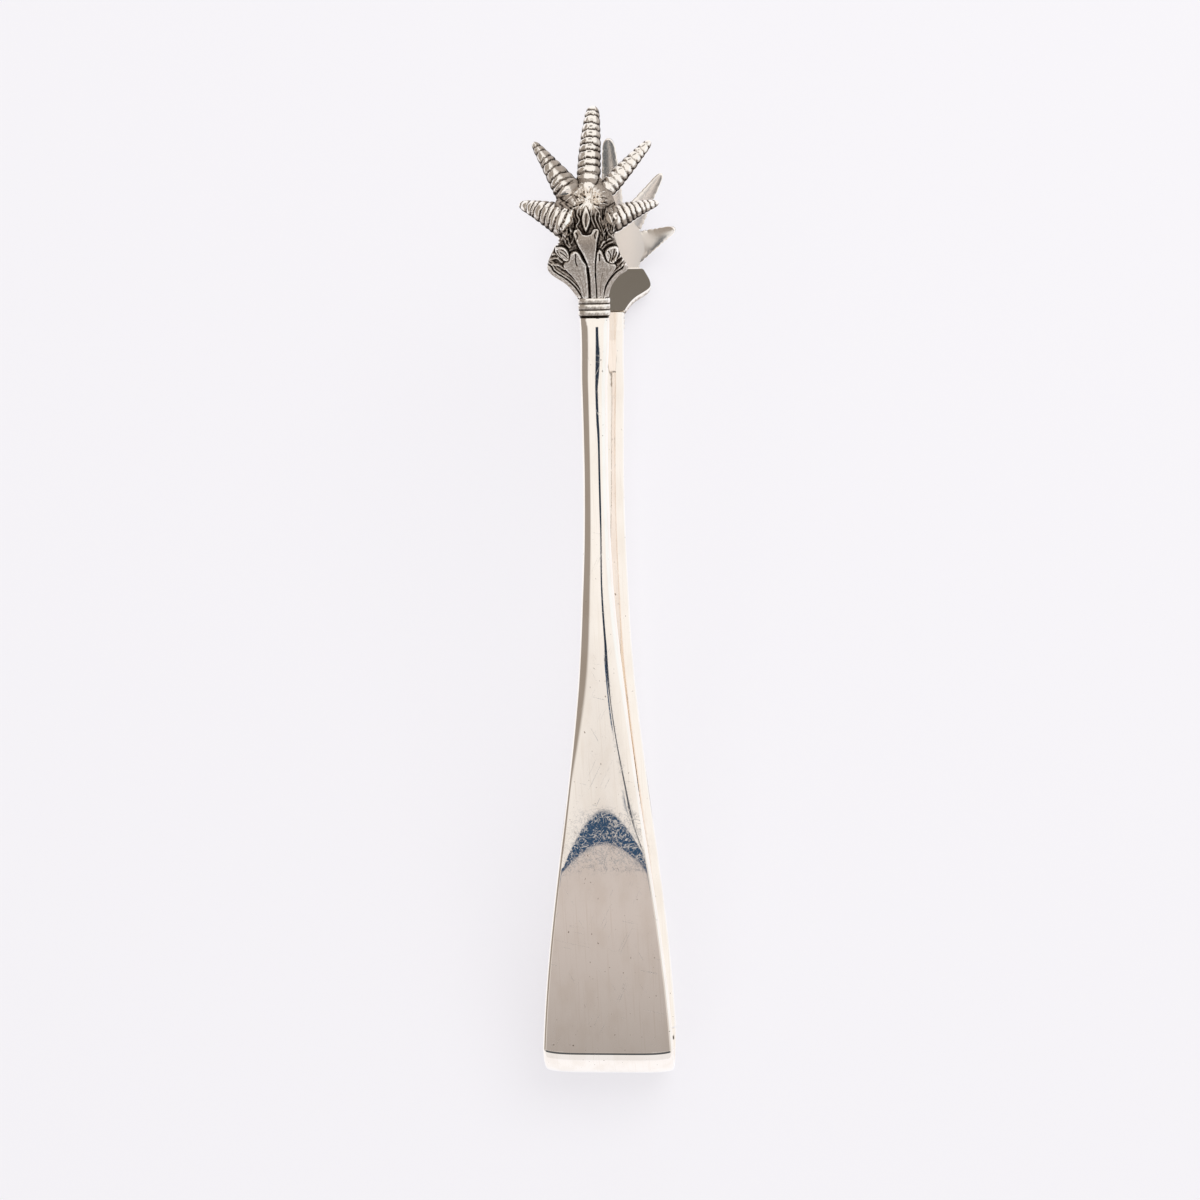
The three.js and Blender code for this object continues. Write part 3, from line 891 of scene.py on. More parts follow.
# %% Places of the leaves and strokes
CENTRE_LEAF = [
    (-0.42, 0.3), (-0.4, 3.2), (-0.54, 4.5), (-0.88, 5.65), (-1.2, 6.4), (-1.58, 7.1), (-1.95, 7.95),
    (-2.15, 8.55), (-2.0, 8.95), (-1.6, 9.1), (-1.25, 8.9), (-1.05, 8.5), (-0.75, 8.35), (-0.3, 8.35),
    (0.0, 8.5), (0.2, 8.95), (0.55, 9.15), (0.9, 9.0), (1.0, 8.55), (0.78, 7.7), (0.65, 6.8),
    (0.5, 5.65), (0.39, 4.3), (0.36, 2.2), (0.3, 0.4),
]
LEFT_LOBE = [
    (-1.3, 0.2), (-1.7, 1.8), (-2.5, 3.2), (-3.4, 4.3), (-3.3, 5.0), (-2.85, 5.3), (-2.55, 6.1), (-2.2, 6.42),
    (-1.75, 6.45), (-1.4, 6.1), (-1.05, 5.3), (-0.5, 4.2), (-0.2, 2.5), (-0.2, 0.3),
]
RIGHT_LOBE = [
    (0.1, 0.3), (0.15, 3.3), (0.5, 5.4), (0.62, 6.2), (0.95, 6.65), (1.25, 6.4), (1.5, 5.75),
    (1.85, 5.0), (2.7, 4.7), (2.9, 4.2), (2.2, 3.1), (1.5, 1.8), (1.15, 0.2),
]
ROSETTE = [(1.6, 6.3), (2.14, 6.9), (2.9, 7.0), (3.25, 6.4), (3.12, 5.6), (2.6, 4.8), (1.86, 5.16)]
CURLED_LEAF = [
    (-4.3, 6.85), (-3.6, 7.05), (-3.0, 6.75), (-2.68, 5.95), (-2.8, 5.25), (-3.28, 5.2), (-3.9, 5.7),
    (-4.35, 6.3),
]
LANCET = [
    (-0.62, 8.75), (-1.02, 9.6), (-1.12, 10.4), (-0.95, 11.2), (-0.63, 11.95), (-0.28, 11.2),
    (-0.08, 10.4), (-0.2, 9.6),
]
# Outline, height and hem of each leaf, in the order in which they are laid.
LEAVES = (
    (LEFT_LOBE, 0.3, 4.9), (RIGHT_LOBE, 0.3, 4.9), (CURLED_LEAF, 0.32, 0.0), (ROSETTE, 0.36, 0.0),
    (LANCET, 0.32, 0.0), (CENTRE_LEAF, 0.38, 5.2),
)
RIDGES = [
    [(-2.11, 13.3), (-1.5, 12.05), (-1.7, 11.0), (-1.4, 10.2), (-1.74, 9.5), (-1.15, 8.6)],
    [(0.3, 11.9), (1.0, 11.1), (0.95, 10.3), (1.3, 9.35), (1.5, 8.55), (1.77, 8.0)],
    [(-1.36, 14.35), (-2.05, 13.6), (-3.05, 12.75)],
    [(-2.57, 11.1), (-2.22, 10.35), (-2.56, 9.5), (-2.28, 8.8)],
    [(-3.24, 8.1), (-2.96, 7.35), (-2.57, 6.9)],
    [(-2.62, 8.6), (-2.76, 7.9), (-2.48, 7.1)],
    [(1.7, 8.6), (1.64, 7.85), (1.2, 7.25)],
    [(2.53, 7.55), (1.84, 7.27), (1.3, 6.7)],
    [(2.25, 7.95), (1.6, 7.55), (1.1, 6.9)],
    [(0.1, 11.5), (-0.02, 10.8), (0.2, 10.0), (0.5, 9.3)],
    [(0.62, 11.2), (0.5, 10.4), (0.8, 9.6), (1.1, 8.9)],
    [(-1.2, 11.6), (-1.3, 10.9)],
    [(-3.6, 9.2), (-3.3, 8.6), (-3.5, 8.0)],
    [(-3.1, 9.6), (-2.9, 8.9), (-3.05, 8.3)],
    [(1.9, 9.3), (2.1, 8.6), (2.6, 8.2)],
    [(-4.95, 5.3), (-4.25, 5.5), (-3.6, 5.0)],
    [(-4.85, 4.72), (-4.05, 4.6), (-3.35, 4.1)],
    [(-4.7, 5.9), (-4.3, 6.0), (-4.0, 5.6)],
    [(2.88, 5.15), (3.45, 5.55), (3.7, 5.6)],
    [(3.05, 4.6), (3.55, 4.95), (3.85, 5.1)],
    [(3.2, 4.2), (3.75, 4.5), (4.05, 4.6)],
]
CUTS = [
    [(-0.55, 3.6), (-0.6, 4.4), (-0.85, 5.4)],
    [(0.36, 3.0), (0.4, 4.2), (0.5, 5.4)],
    [(-1.75, 8.6), (-1.6, 8.2), (-1.75, 7.8)],
    [(0.62, 8.7), (0.45, 8.3), (0.5, 7.95)],
    [(-0.6, 9.4), (-0.62, 10.2), (-0.55, 10.9)],
    [(2.1, 5.1), (2.3, 5.8), (2.05, 6.4)],
    [(2.35, 5.1), (2.6, 5.9), (2.75, 6.6)],
    [(2.5, 5.3), (2.85, 5.8), (3.0, 6.2)],
    [(-2.85, 5.5), (-3.2, 5.9), (-3.75, 6.3)],
    [(-2.9, 5.95), (-3.2, 6.4), (-3.6, 6.65)],
    [(-3.5, 5.5), (-3.9, 6.0), (-4.15, 6.5)],
    [(-0.39, 14.05), (-0.36, 13.35)],
    [(0.09, 14.25), (0.14, 13.55)],
    [(0.42, 13.35), (0.28, 12.65)],
    [(-2.05, 13.35), (-1.62, 12.75)],
    [(-0.85, 13.8), (-0.8, 13.2)],
    [(-1.2, 13.7), (-1.35, 13.0)],
    [(0.8, 13.6), (0.75, 12.9)],
    [(-1.9, 6.1), (-1.95, 5.2), (-1.8, 4.6)],
    [(0.95, 6.1), (0.95, 5.2)],
]
# Line, width and depth of each groove.
GROOVES = [
    ([(-0.44, 0.1), (-0.45, 2.4), (-0.55, 4.2)], 0.15, 0.4),
    ([(0.4, 0.2), (0.4, 1.6), (0.37, 3.6)], 0.07, 0.26),
    ([(-1.1, 0.6), (-1.3, 2.0), (-1.7, 3.4)], 0.06, 0.06),
    ([(-0.85, 0.9), (-1.0, 2.8), (-1.3, 4.6)], 0.05, 0.05),
    ([(0.8, 0.6), (0.95, 2.2), (1.2, 3.6)], 0.06, 0.08),
]
HUB = np.array([-0.45, 12.6])
print(len(LEAVES), "leaves,", len(RIDGES), "ridges,", len(CUTS), "cuts and", len(GROOVES), "grooves")

# %% Feathers and barbs
STROKE_SEED = 5
FEATHER_COUNT = 64
FEATHER_FAN = (-2.2, 2.2)
FEATHER_START = (0.35, 1.35)
BARB_COUNT = 56
BARBS_LEFT = (-3.7, -1.5)
BARBS_RIGHT = (1.2, 2.8)
BARB_ROWS = (7.2, 11.2)
BARB_LEAN = (-0.2, 0.6)
STROKE_TURN = (-0.35, 0.35)
STROKE_LENGTH = (0.6, 1.25)
STROKE_WIDTH = (0.06, 0.1)
STROKE_LIFT = (0.12, 0.24)
STROKE_BEND = (-0.12, 0.12)


def random_strokes(x, s):
    """Fine strokes cut by hand, placed by a seeded draw.

    Feathers start on a ring round the hub and run outwards, upwards or to the sides. Barbs stand on the
    two sides of the palm and lean outwards. Each is a ridge, and each third one is a cut.
    """
    draw = np.random.default_rng(STROKE_SEED)
    angles = draw.uniform(*FEATHER_FAN, FEATHER_COUNT)
    heading = np.stack([np.sin(angles), np.cos(angles)], axis=-1)
    starts = HUB + draw.uniform(*FEATHER_START, (FEATHER_COUNT, 1)) * heading
    side = np.where(np.arange(BARB_COUNT) % 2 == 0, -1.0, 1.0)
    barb_x = np.where(side < 0, draw.uniform(*BARBS_LEFT, BARB_COUNT), draw.uniform(*BARBS_RIGHT, BARB_COUNT))
    barb_s = draw.uniform(*BARB_ROWS, BARB_COUNT)
    starts = np.concatenate([starts, np.stack([barb_x, barb_s], axis=-1)])
    angles = np.concatenate([angles, side * draw.uniform(*BARB_LEAN, BARB_COUNT)])
    count = len(angles)
    angles = angles + draw.uniform(*STROKE_TURN, count)
    lengths = draw.uniform(*STROKE_LENGTH, count)
    widths = draw.uniform(*STROKE_WIDTH, count)
    lifts = draw.uniform(*STROKE_LIFT, count) * np.where(np.arange(count) % 3 == 2, -1.0, 1.0)
    bends = draw.uniform(*STROKE_BEND, count)
    height = np.zeros(x.shape)
    for start, angle, length, width, lift, bend in zip(starts, angles, lengths, widths, lifts, bends):
        ahead = np.array([np.sin(angle), np.cos(angle)])
        middle = start + ahead * length / 2 + bend * np.array([ahead[1], -ahead[0]])
        height = height + lift * stroke([start, middle, start + ahead * length], width, x, s)
    return height


print(FEATHER_COUNT, "feathers and", BARB_COUNT, "barbs are drawn at random")

# %% Carving of the claw's face
RIM_HEIGHT = 0.3
RIM_WIDTH = 0.58
RIM_EDGE = 0.06
# Distance from the edge, height and width of each bead.
RIM_BEADS = ((0.85, 0.24, 0.11), (1.16, 0.16, 0.1))
RIDGE_HEIGHT = 0.24
RIDGE_WIDTH = 0.1
CUT_DEPTH = 0.2
CUT_WIDTH = 0.07
FOOT_AT = 0.1
FOOT_WAVES = ((0.07, 8.5, 0.6), (0.05, 23.0, 0.0))
FOOT_DEPTH = 0.3
FOOT_WIDTH = 0.14
HUB_DOME = 0.2
HUB_REACH = 1.9
GRAIN_SEED = 8
GRAIN_BLUR = 2
CASTING_GRAIN = 0.014


def carve(x, s, arcs):
    """Height of the carving over the claw's face, in mm, for every grid point.

    The raised rim and its beads follow the two arcs of the capital's edge. Leaves, ridges, cuts and
    grooves follow, then a wavering seam at the foot, the dome of the hub, the strokes and the grain.
    """
    height = np.zeros(x.shape)
    for arc in arcs:
        away = distance(arc, x, s)
        rim = RIM_HEIGHT * (1 - smooth(away, RIM_WIDTH - RIM_EDGE, RIM_WIDTH + RIM_EDGE))
        height = np.maximum(height, rim)
        for place, lift, width in RIM_BEADS:
            height = np.maximum(height, lift * bell(away - place, width))
    for outline, level, hem in LEAVES:
        height = lay_leaf(height, outline, level, hem, x, s)
    for line in RIDGES:
        height = height + RIDGE_HEIGHT * stroke(line, RIDGE_WIDTH, x, s)
    for line in CUTS:
        height = height - CUT_DEPTH * stroke(line, CUT_WIDTH, x, s)
    for line, width, deep in GROOVES:
        height = height - deep * stroke(line, width, x, s)
    foot = FOOT_AT + sum(size * np.sin(rate * x + phase) for size, rate, phase in FOOT_WAVES)
    height = height - FOOT_DEPTH * bell(s - foot, FOOT_WIDTH)
    dome = HUB_DOME * np.exp(-((np.hypot(x - HUB[0], s - HUB[1]) / HUB_REACH) ** 4))
    grain = blurred(np.random.default_rng(GRAIN_SEED).normal(size=x.shape), GRAIN_BLUR)
    return height + dome + random_strokes(x, s) + CASTING_GRAIN * grain / grain.std()


print("the capital's rim is", RIM_HEIGHT, "mm high and", RIM_WIDTH, "mm wide")

# %% [markdown]
# ## Talons
# Five ribbed talons spread from the palm and hook inwards to grip a lump of sugar. Each one is a cone
# with a round back, carried along a line that drops, with cuts across it that were filed by hand: no
# two are quite alike, so the spacing and the slant of the cuts are shaken by a seeded random draw.
# Their list comes before the claw body is built, because the palm swells up to meet their roots.

# %% Talons in the plane of the palm
TALON_KEYS = ("root", "tip", "half", "tip_half", "taper", "drop", "ribs", "dark", "across")
# The dark column is the share of each talon's right flank that is painted in shade.
TALONS = [dict(zip(TALON_KEYS, values)) for values in (
    ((-2.95, 2.75), (-8.95, 5.8), 2.2, 0.45, 1.0, 1.9, 9, 0.12, 1.0),
    ((-2.85, 6.65), (-7.2, 13.1), 1.75, 0.42, 0.95, 0.5, 8, 0.42, 0.85),
    ((-0.45, 7.3), (-0.05, 18.1), 1.42, 0.72, 1.9, 1.8, 11, 0.2, 1.0),
    ((2.0, 6.95), (7.0, 13.0), 1.15, 0.45, 1.6, 0.5, 9, 0.08, 0.45),
    ((2.3, 2.9), (7.95, 5.7), 1.75, 0.35, 1.05, 1.9, 9, 0.15, 1.0),
)]
TALON_CROWN = 0.8
MOUND_RISE = (-1.8, 0.4)


def root_mound(x, s, root, tip, half):
    """Height of the swelling that leads from the hub to a talon's root: the talon's own half ellipse,
    fading in along its line."""
    root = np.array(root)
    heading = (np.array(tip) - root) / np.linalg.norm(np.array(tip) - root)
    along = (x - root[0]) * heading[0] + (s - PALM_AT - root[1]) * heading[1]
    aside = (x - root[0]) * heading[1] - (s - PALM_AT - root[1]) * heading[0]
    return TALON_CROWN * half * half_round(aside / half) * smooth(along, *MOUND_RISE)


print("talon lengths in mm:", [round(math.dist(talon["root"], talon["tip"]), 1) for talon in TALONS])

# %% Ribs filed across a talon
TALON_STEPS = 72
RIB_FIRST = 0.3
RIB_SHAKE = 0.16
RIB_SPAN = 0.98
RIB_SLANT = 0.14
RIB_BOW = 0.22
RIB_DEPTHS = (0.85, 1.0)
RIB_TONE = 0.14
RIB_WAVER = ((0.05, 7), (0.03, 13), (0.05, 23), (0.04, 31))
RIB_WIDTH = 0.115
RIB_FLANK_WIDTH = 0.1
RIB_WIDTH_WAVE = (0.03, 5)
RIB_DEEPENS = (0.35, 0.8)
RIB_WRAP = (-0.35, 0.1)
TALON_SEED = 11
rng = np.random.default_rng(TALON_SEED)


def talon_ribs(share, turn, ribs, across):
    """Depth of the cuts over a talon, the number of the plate at each row, and the tone of each plate.

    A cut is a bell curve over the distance from its own wavering line. It is wider at the flanks than
    over the back, where it keeps only a share of its depth, given as across.
    """
    flank = np.cos(turn)
    spots = (np.arange(ribs) + RIB_FIRST + RIB_SHAKE * rng.uniform(-1, 1, ribs)) / ribs * RIB_SPAN
    slants = rng.uniform(-RIB_SLANT, RIB_SLANT, ribs) / ribs
    bows = rng.uniform(0.0, RIB_BOW, ribs) / ribs
    phases = rng.uniform(0, 2 * np.pi, (ribs, 2))
    depths = rng.uniform(*RIB_DEPTHS, ribs)
    tones = rng.uniform(-RIB_TONE, RIB_TONE, ribs + 1)
    wave_size, wave_rate = RIB_WIDTH_WAVE
    cut = np.zeros((len(share), TALON_STEPS))
    for spot, slant, bow, (first, second), deep in zip(spots, slants, bows, phases, depths):
        shifts = (first, second, second, first)
        waver = sum(size * np.sin(rate * turn + shift) for (size, rate), shift in zip(RIB_WAVER, shifts))
        line = spot + slant * flank - bow * flank**2 + waver / ribs
        width = RIB_WIDTH + RIB_FLANK_WIDTH * flank**2 + wave_size * np.sin(wave_rate * turn + second)
        strength = deep * mix(across, 1.0, smooth(np.abs(flank), *RIB_DEEPENS))
        cut = np.maximum(cut, strength * bell(share[:, None] - line, width / ribs))
    plate = np.interp(share, spots, np.arange(ribs) + 1.0, left=0.0, right=ribs)
    return cut * smooth(np.sin(turn), *RIB_WRAP), plate, tones


print("each claw has", sum(talon["ribs"] for talon in TALONS), "cuts across its talons")

# %% Worn tone and painted shade on a talon
BACK_TONE = 1.1
SHADED_TONE = 0.5
LEFT_SHADE_TONE = 0.3
RIM_SHADE_TONE = 0.65
SHADED_EDGE = (0.25, 0.1)
LEFT_SHADE_AT = (0.6, 0.95)
RIM_SHADE_AT = (0.88, 0.98)
PLATE_TONE_AT = (0.1, 0.7)
TONE_LIMITS = (0.16, 1.16)


def talon_wear_and_shade(flank, plate_tone, dark):
    """Worn tone and painted shade on the back of a talon between its cuts: bright, but darkened by
    painted shade at the rims, on the left flank and on the part of the right flank, given as dark, that
    is in shade."""
    lit = 1 - 2 * dark
    tone = BACK_TONE + plate_tone * smooth(np.abs(flank), *PLATE_TONE_AT)
    tone = tone - SHADED_TONE * smooth(flank, lit - SHADED_EDGE[0], lit + SHADED_EDGE[1])
    tone = tone - LEFT_SHADE_TONE * smooth(-flank, *LEFT_SHADE_AT) - RIM_SHADE_TONE * smooth(np.abs(flank), *RIM_SHADE_AT)
    return np.clip(tone, *TONE_LIMITS)


print("wear on the middle of a talon:", talon_wear_and_shade(np.array(0.0), 0.0, TALONS[0]["dark"]))

# %% Skins of the talons
TALON_ROWS = 260
TIP_ROWS = 24
TIP_SHARE = 0.9
LEAST_TIP = 0.0004
ROOT_SINK = 0.2
ROOT_START = 0.35
RING_BULGE = 0.05
BULGE_ROUND = 0.8
BULGE_RISE = (0.0, 0.1)
SIDE_CUT = 0.06
BACK_CUT = 0.24
TALON_INSIDE = 0.3
INSIDE_ROUND = 0.4


def talon_rings(root, tip, half, tip_half, taper, drop, ribs, dark, across):
    """Rings of a talon, with the worn tone and the painted shade on them.

    The half width falls from half to tip_half by the share to the power taper, rounds off at the tip
    and sinks into the palm at the root. Outside, the section is half an ellipse, from which each cut
    takes a share; inside it is a flattened one.
    """
    share = np.concatenate([
        np.linspace(-ROOT_SINK, TIP_SHARE, TALON_ROWS),
        1 - (1 - TIP_SHARE) * np.cos(np.linspace(0, np.pi / 2, TIP_ROWS))[1:],
    ])
    root, tip = np.array(root), np.array(tip)
    length = np.linalg.norm(tip - root)
    heading = (tip - root) / length
    place = root + np.outer(share * length, heading)
    free = np.maximum(share, 0)
    fall = -drop * free[:, None] ** 2
    slope = np.arctan2(2 * drop * free, length)[:, None]
    rounding = np.clip((share - TIP_SHARE) / (1 - TIP_SHARE), 0, 1)
    sunk = mix(ROOT_START, 1.0, smooth(share, -ROOT_SINK, 0.0))
    end = np.sqrt(np.clip(1 - rounding**2, LEAST_TIP, 1)) * sunk
    radius = (mix(half, tip_half, free**taper) * end)[:, None]
    turn = np.linspace(0, 2 * np.pi, TALON_STEPS, endpoint=False)[None, :]
    flank, back = np.cos(turn), np.sin(turn)
    cut, plate, tones = talon_ribs(share, turn, ribs, across)
    bulge = RING_BULGE * np.abs(np.sin(np.pi * plate)) ** BULGE_ROUND * smooth(share, *BULGE_RISE)
    side = radius * (1 + bulge[:, None] - SIDE_CUT * cut) * flank
    crown = radius * TALON_CROWN * (1 + bulge[:, None] - BACK_CUT * cut) * back
    hollow = np.minimum(TALON_INSIDE, radius) * np.abs(back) ** INSIDE_ROUND
    out = np.where(back > 0, crown, -hollow)
    lean = np.sin(slope) * out
    x = place[:, :1] + side * heading[1] + lean * heading[0]
    along = place[:, 1:] - side * heading[0] + lean * heading[1]
    points = side_point(KNUCKLE[None, None, :], PALM_ANGLE, along, fall + np.cos(slope) * out)
    plate_tone = tones[np.clip(plate, 0, ribs).astype(int)][:, None]
    # Outside, the tarnish in the cuts is real; the darker rims and flanks are painted shade.
    wear_and_painted_light = np.where(back > 0, talon_wear_and_shade(flank, plate_tone, dark) * (1 - cut), SATIN_WEAR)
    return spatial(x, points), wear_and_painted_light


for number, talon in enumerate(TALONS, start=1):
    rings, wear_and_painted_light = talon_rings(**talon)
    skin_arms(f"talon_{number}_skin", rings, [f"talon_{number}"], claw_finish, wear_and_painted_light)

# %% Roots and wear of the claw body
ROOT_EDGE = (-0.25, 0.1)
ROOT_LINE_WIDTH = 0.14
ROOT_LINE_RISE = (0.05, 0.3)
MOUND_MOST = 0.55
MOUND_BLEND = 0.12
NEAR_SHARE = 0.75
NEAR_BLUR = 5
WIDE_BLUR = 18
CAPITAL_LEVEL = 0.5
PALM_LEVEL = 0.38
LEVEL_CHANGE = (5.8, 7.4)
RAISED_LEVEL = 0.16
RAISED_RISE = (0.05, 0.25)
ROOT_LEVEL = 0.04
HUB_LEVEL = 0.75
HUB_RUBBED = HUB + np.array([0.0, 0.5])
HUB_SIZE = (2.1, 1.7)
HUB_SOFTENS = 0.25
CUT_CONTRAST = 4.6
RIDGE_CONTRAST = 2.4
ROOT_LINE_DARKENING = 0.4


def meet_roots(out, x, s):
    """Face of the palm with the talons' roots swelling out of it.

    Returns the face, the share of each spot that belongs to a root, and a darker line round each root.
    """
    roots = np.zeros(x.shape)
    root_line = np.zeros(x.shape)
    for talon in TALONS:
        mound = root_mound(x, s, talon["root"], talon["tip"], talon["half"])
        roots = np.maximum(roots, smooth(mound - out, *ROOT_EDGE))
        root_line = np.maximum(root_line, bell(mound - out, ROOT_LINE_WIDTH) * smooth(mound, *ROOT_LINE_RISE))
        out = soft_max(out, np.minimum(mound, out + MOUND_MOST), MOUND_BLEND)
    return out, roots, root_line


def claw_wear(height, roots, root_line, x, s):
    """Wear over the claw's face, from 0 to 1.

    It follows the relief, which is the height less its averages close by and further off. It is higher
    on the leaves and on the rubbed hub, and lower along a line round the talons' roots.
    """
    relief = height - NEAR_SHARE * blurred(height, NEAR_BLUR) - (1 - NEAR_SHARE) * blurred(height, WIDE_BLUR)
    level = mix(CAPITAL_LEVEL, PALM_LEVEL, smooth(s, *LEVEL_CHANGE)) + ROOT_LEVEL * roots
    level = level + RAISED_LEVEL * smooth(blurred(height, GRAIN_BLUR), *RAISED_RISE)
    squared = ((x - HUB_RUBBED[0]) / HUB_SIZE[0]) ** 2 + ((s - HUB_RUBBED[1]) / HUB_SIZE[1]) ** 2
    hub = np.exp(-(squared**2))
    contrast = np.where(relief < 0, CUT_CONTRAST, RIDGE_CONTRAST) * (1 - HUB_SOFTENS * hub)
    return np.clip(level + HUB_LEVEL * hub + contrast * relief - ROOT_LINE_DARKENING * root_line * (1 - hub), 0, 1)


print("the talons' roots stand out of the palm by up to", MOUND_MOST, "mm")

# %% Skin of the claw body
FACE_STEPS = 240
FACE_ROWS = 330
BACK_STEPS = 24
CAPITAL_RIM, CAPITAL_DOME = 0.35, 0.45
PALM_RIM, PALM_DOME = 0.5, 0.55
LEFT_ARC_POINTS = 7
RIGHT_ARC_POINTS = 8
NICK_DEPTH = 0.1
NICK_RATE = 12
NICKS_FROM = (6.3, 6.9)
NICKS_TO = (8.6, 9.4)
EDGE_FADE = 0.03
TOP_FADE = (PALM_END - 2.9, PALM_END - 0.3)
RIPPLE = 0.05
RIPPLE_RATE = 9
RIPPLE_WAVER = 1.5
RIPPLE_WAVER_RATE = 6


def claw_rings():
    """Rings of the claw body: a domed and carved face, rounded edges and a plain back.

    The face stands out by its rim plus its dome times the half ellipse over x, plus the carving; the
    dome and the carving fade at the top of the palm, under the roots of the talons.
    """
    rows = np.linspace(0.0, PALM_END, FACE_ROWS)
    left_line, right_line = through(LEFT_OUTLINE), through(RIGHT_OUTLINE)
    nicks = NICK_DEPTH * np.sin(NICK_RATE * rows) * smooth(rows, *NICKS_FROM) * (1 - smooth(rows, *NICKS_TO))
    left = np.interp(rows, left_line[:, 0], left_line[:, 1]) + nicks
    right = np.interp(rows, right_line[:, 0], right_line[:, 1])
    across = np.linspace(1, -1, FACE_STEPS)
    x = np.where(across > 0, across * right[:, None], across * left[:, None])
    s = np.broadcast_to(rows[:, None], x.shape)
    over = smooth(rows, STRAIGHT, BEND_END)[:, None]
    bulge = half_round(across)[None, :]
    top_fade = (1 - smooth(rows, *TOP_FADE))[:, None]
    plain = mix(CAPITAL_RIM, PALM_RIM, over) + mix(CAPITAL_DOME, PALM_DOME, over) * bulge * top_fade
    out, roots, root_line = meet_roots(plain, x, s)
    arcs = [
        through([(-wide, at) for at, wide in LEFT_OUTLINE[:LEFT_ARC_POINTS]]),
        through([(wide, at) for at, wide in RIGHT_OUTLINE[:RIGHT_ARC_POINTS]]),
    ]
    from_hub = np.hypot(x - HUB[0], s - HUB[1])
    ripple = np.cos(RIPPLE_RATE * from_hub + RIPPLE_WAVER * np.sin(RIPPLE_WAVER_RATE * s))
    height = carve(x, s, arcs) + RIPPLE * roots * ripple
    edge_fade = smooth(1 - np.abs(across), 0.0, EDGE_FADE)[None, :]
    out = out + height * edge_fade * top_fade
    back_x = x[:, ::-1][:, :: FACE_STEPS // BACK_STEPS]
    back_wear = np.broadcast_to(mix(MIRROR_WEAR, SATIN_WEAR, over), back_x.shape)
    ring_x = np.concatenate([x, back_x], axis=1)
    ring_out = np.concatenate([out, np.full(back_x.shape, -BACK_DEPTH)], axis=1)
    ring_wear = np.concatenate([claw_wear(height, roots, root_line, x, s), back_wear], axis=1)
    point, angle = claw_spine(rows)
    side = side_point(point[:, None, :], angle[:, None], 0.0, ring_out)
    return spatial(ring_x, side), ring_wear


rings, wear_and_painted_light = claw_rings()
skin_arms("claw_body", rings, ["leaf_capital", "palm"], claw_finish, wear_and_painted_light)

# %% [markdown]
# ## Camera
# The photograph was taken from almost straight above, close enough that the far arm peeps out beside
# the near one. A camera is a place, three axes and an opening angle, so those are written down.

# %% Camera
VIEW_TARGET = np.array([-0.453, -1.321, 20.0]) * MM
VIEW_DISTANCE = 282.8 * MM
VIEW_TILTS = (-0.0833, -0.0635, 0.0061)
HALF_FRAME_PIXELS = 600
FOCAL_PIXELS = 2204.6
VIEW_ANGLE = 2 * math.atan(HALF_FRAME_PIXELS / FOCAL_PIXELS)
NEAREST_SEEN = 0.01


def camera_axes(pitch, yaw, roll):
    """Rotation that takes the part's axes to the camera's: about x, then y, then z."""
    return (
        Matrix.Rotation(roll, 3, "Z") @ Matrix.Rotation(yaw, 3, "Y") @ Matrix.Rotation(pitch, 3, "X")
    )


camera_data = bpy.data.cameras.new("camera")
camera_data.sensor_fit = "HORIZONTAL"
camera_data.angle = VIEW_ANGLE
camera_data.clip_start = NEAREST_SEEN
camera = bpy.data.objects.new("camera", camera_data)
bpy.context.scene.collection.objects.link(camera)
axes = np.array(camera_axes(*VIEW_TILTS))
eye = VIEW_TARGET + axes.T @ np.array([0, 0, VIEW_DISTANCE])
camera.matrix_world = Matrix.Translation(eye) @ Matrix(axes.T.tolist()).to_4x4()
bpy.context.scene.camera = camera
print("camera at", [round(value / MM, 1) for value in camera.location])

# %% [markdown]
# ## Table and room
# Polished silver shows the room more than itself. The room is a pale dome with a darker side to the
# left, a dark far wall, and towards the bow a grey patch with a blue edge, which is what the cheek
# mirrors. The dome is made of smooth steps of the direction, so there is no picture in it. The camera
# itself sees only the pale table.


# %% Table
TABLE = (0.30, 0.30, 0.30)
TABLE_GLOW = (0.612, 0.596, 0.63)
TABLE_MIRRORED = (0.76, 0.77, 0.82)
TABLE_ROUGHNESS = 0.9
TABLE_HALF = 2.0
TABLE_DROP = 0.02 * MM


def table_top():
    """Flat square under the tongs, matt and pale."""
    mesh = bpy.data.meshes.new("table")
    corners = [(-1, -1, 0), (1, -1, 0), (1, 1, 0), (-1, 1, 0)]
    mesh.from_pydata((np.array(corners) * TABLE_HALF).tolist(), [], [(0, 1, 2, 3)])
    material, tree, shader, _ = new_finish("pale_table")
    shader.inputs["Base Color"].default_value = (*TABLE, 1.0)
    shader.inputs["Roughness"].default_value = TABLE_ROUGHNESS
    mirrored = tree.nodes.new("ShaderNodeLightPath").outputs["Is Glossy Ray"]
    tree.links.new(colour_mix(tree, mirrored, TABLE_GLOW, TABLE_MIRRORED), shader.inputs["Emission Color"])
    shader.inputs["Emission Strength"].default_value = 1.0
    shader.inputs["Specular IOR Level"].default_value = 0.0
    mesh.materials.append(material)
    table = bpy.data.objects.new("table", mesh)
    table.location.z = -TABLE_DROP
    bpy.context.scene.collection.objects.link(table)
    return table


table = table_top()
print("table", 2 * TABLE_HALF, "m across, at", round(table.location.z / MM, 3), "mm")

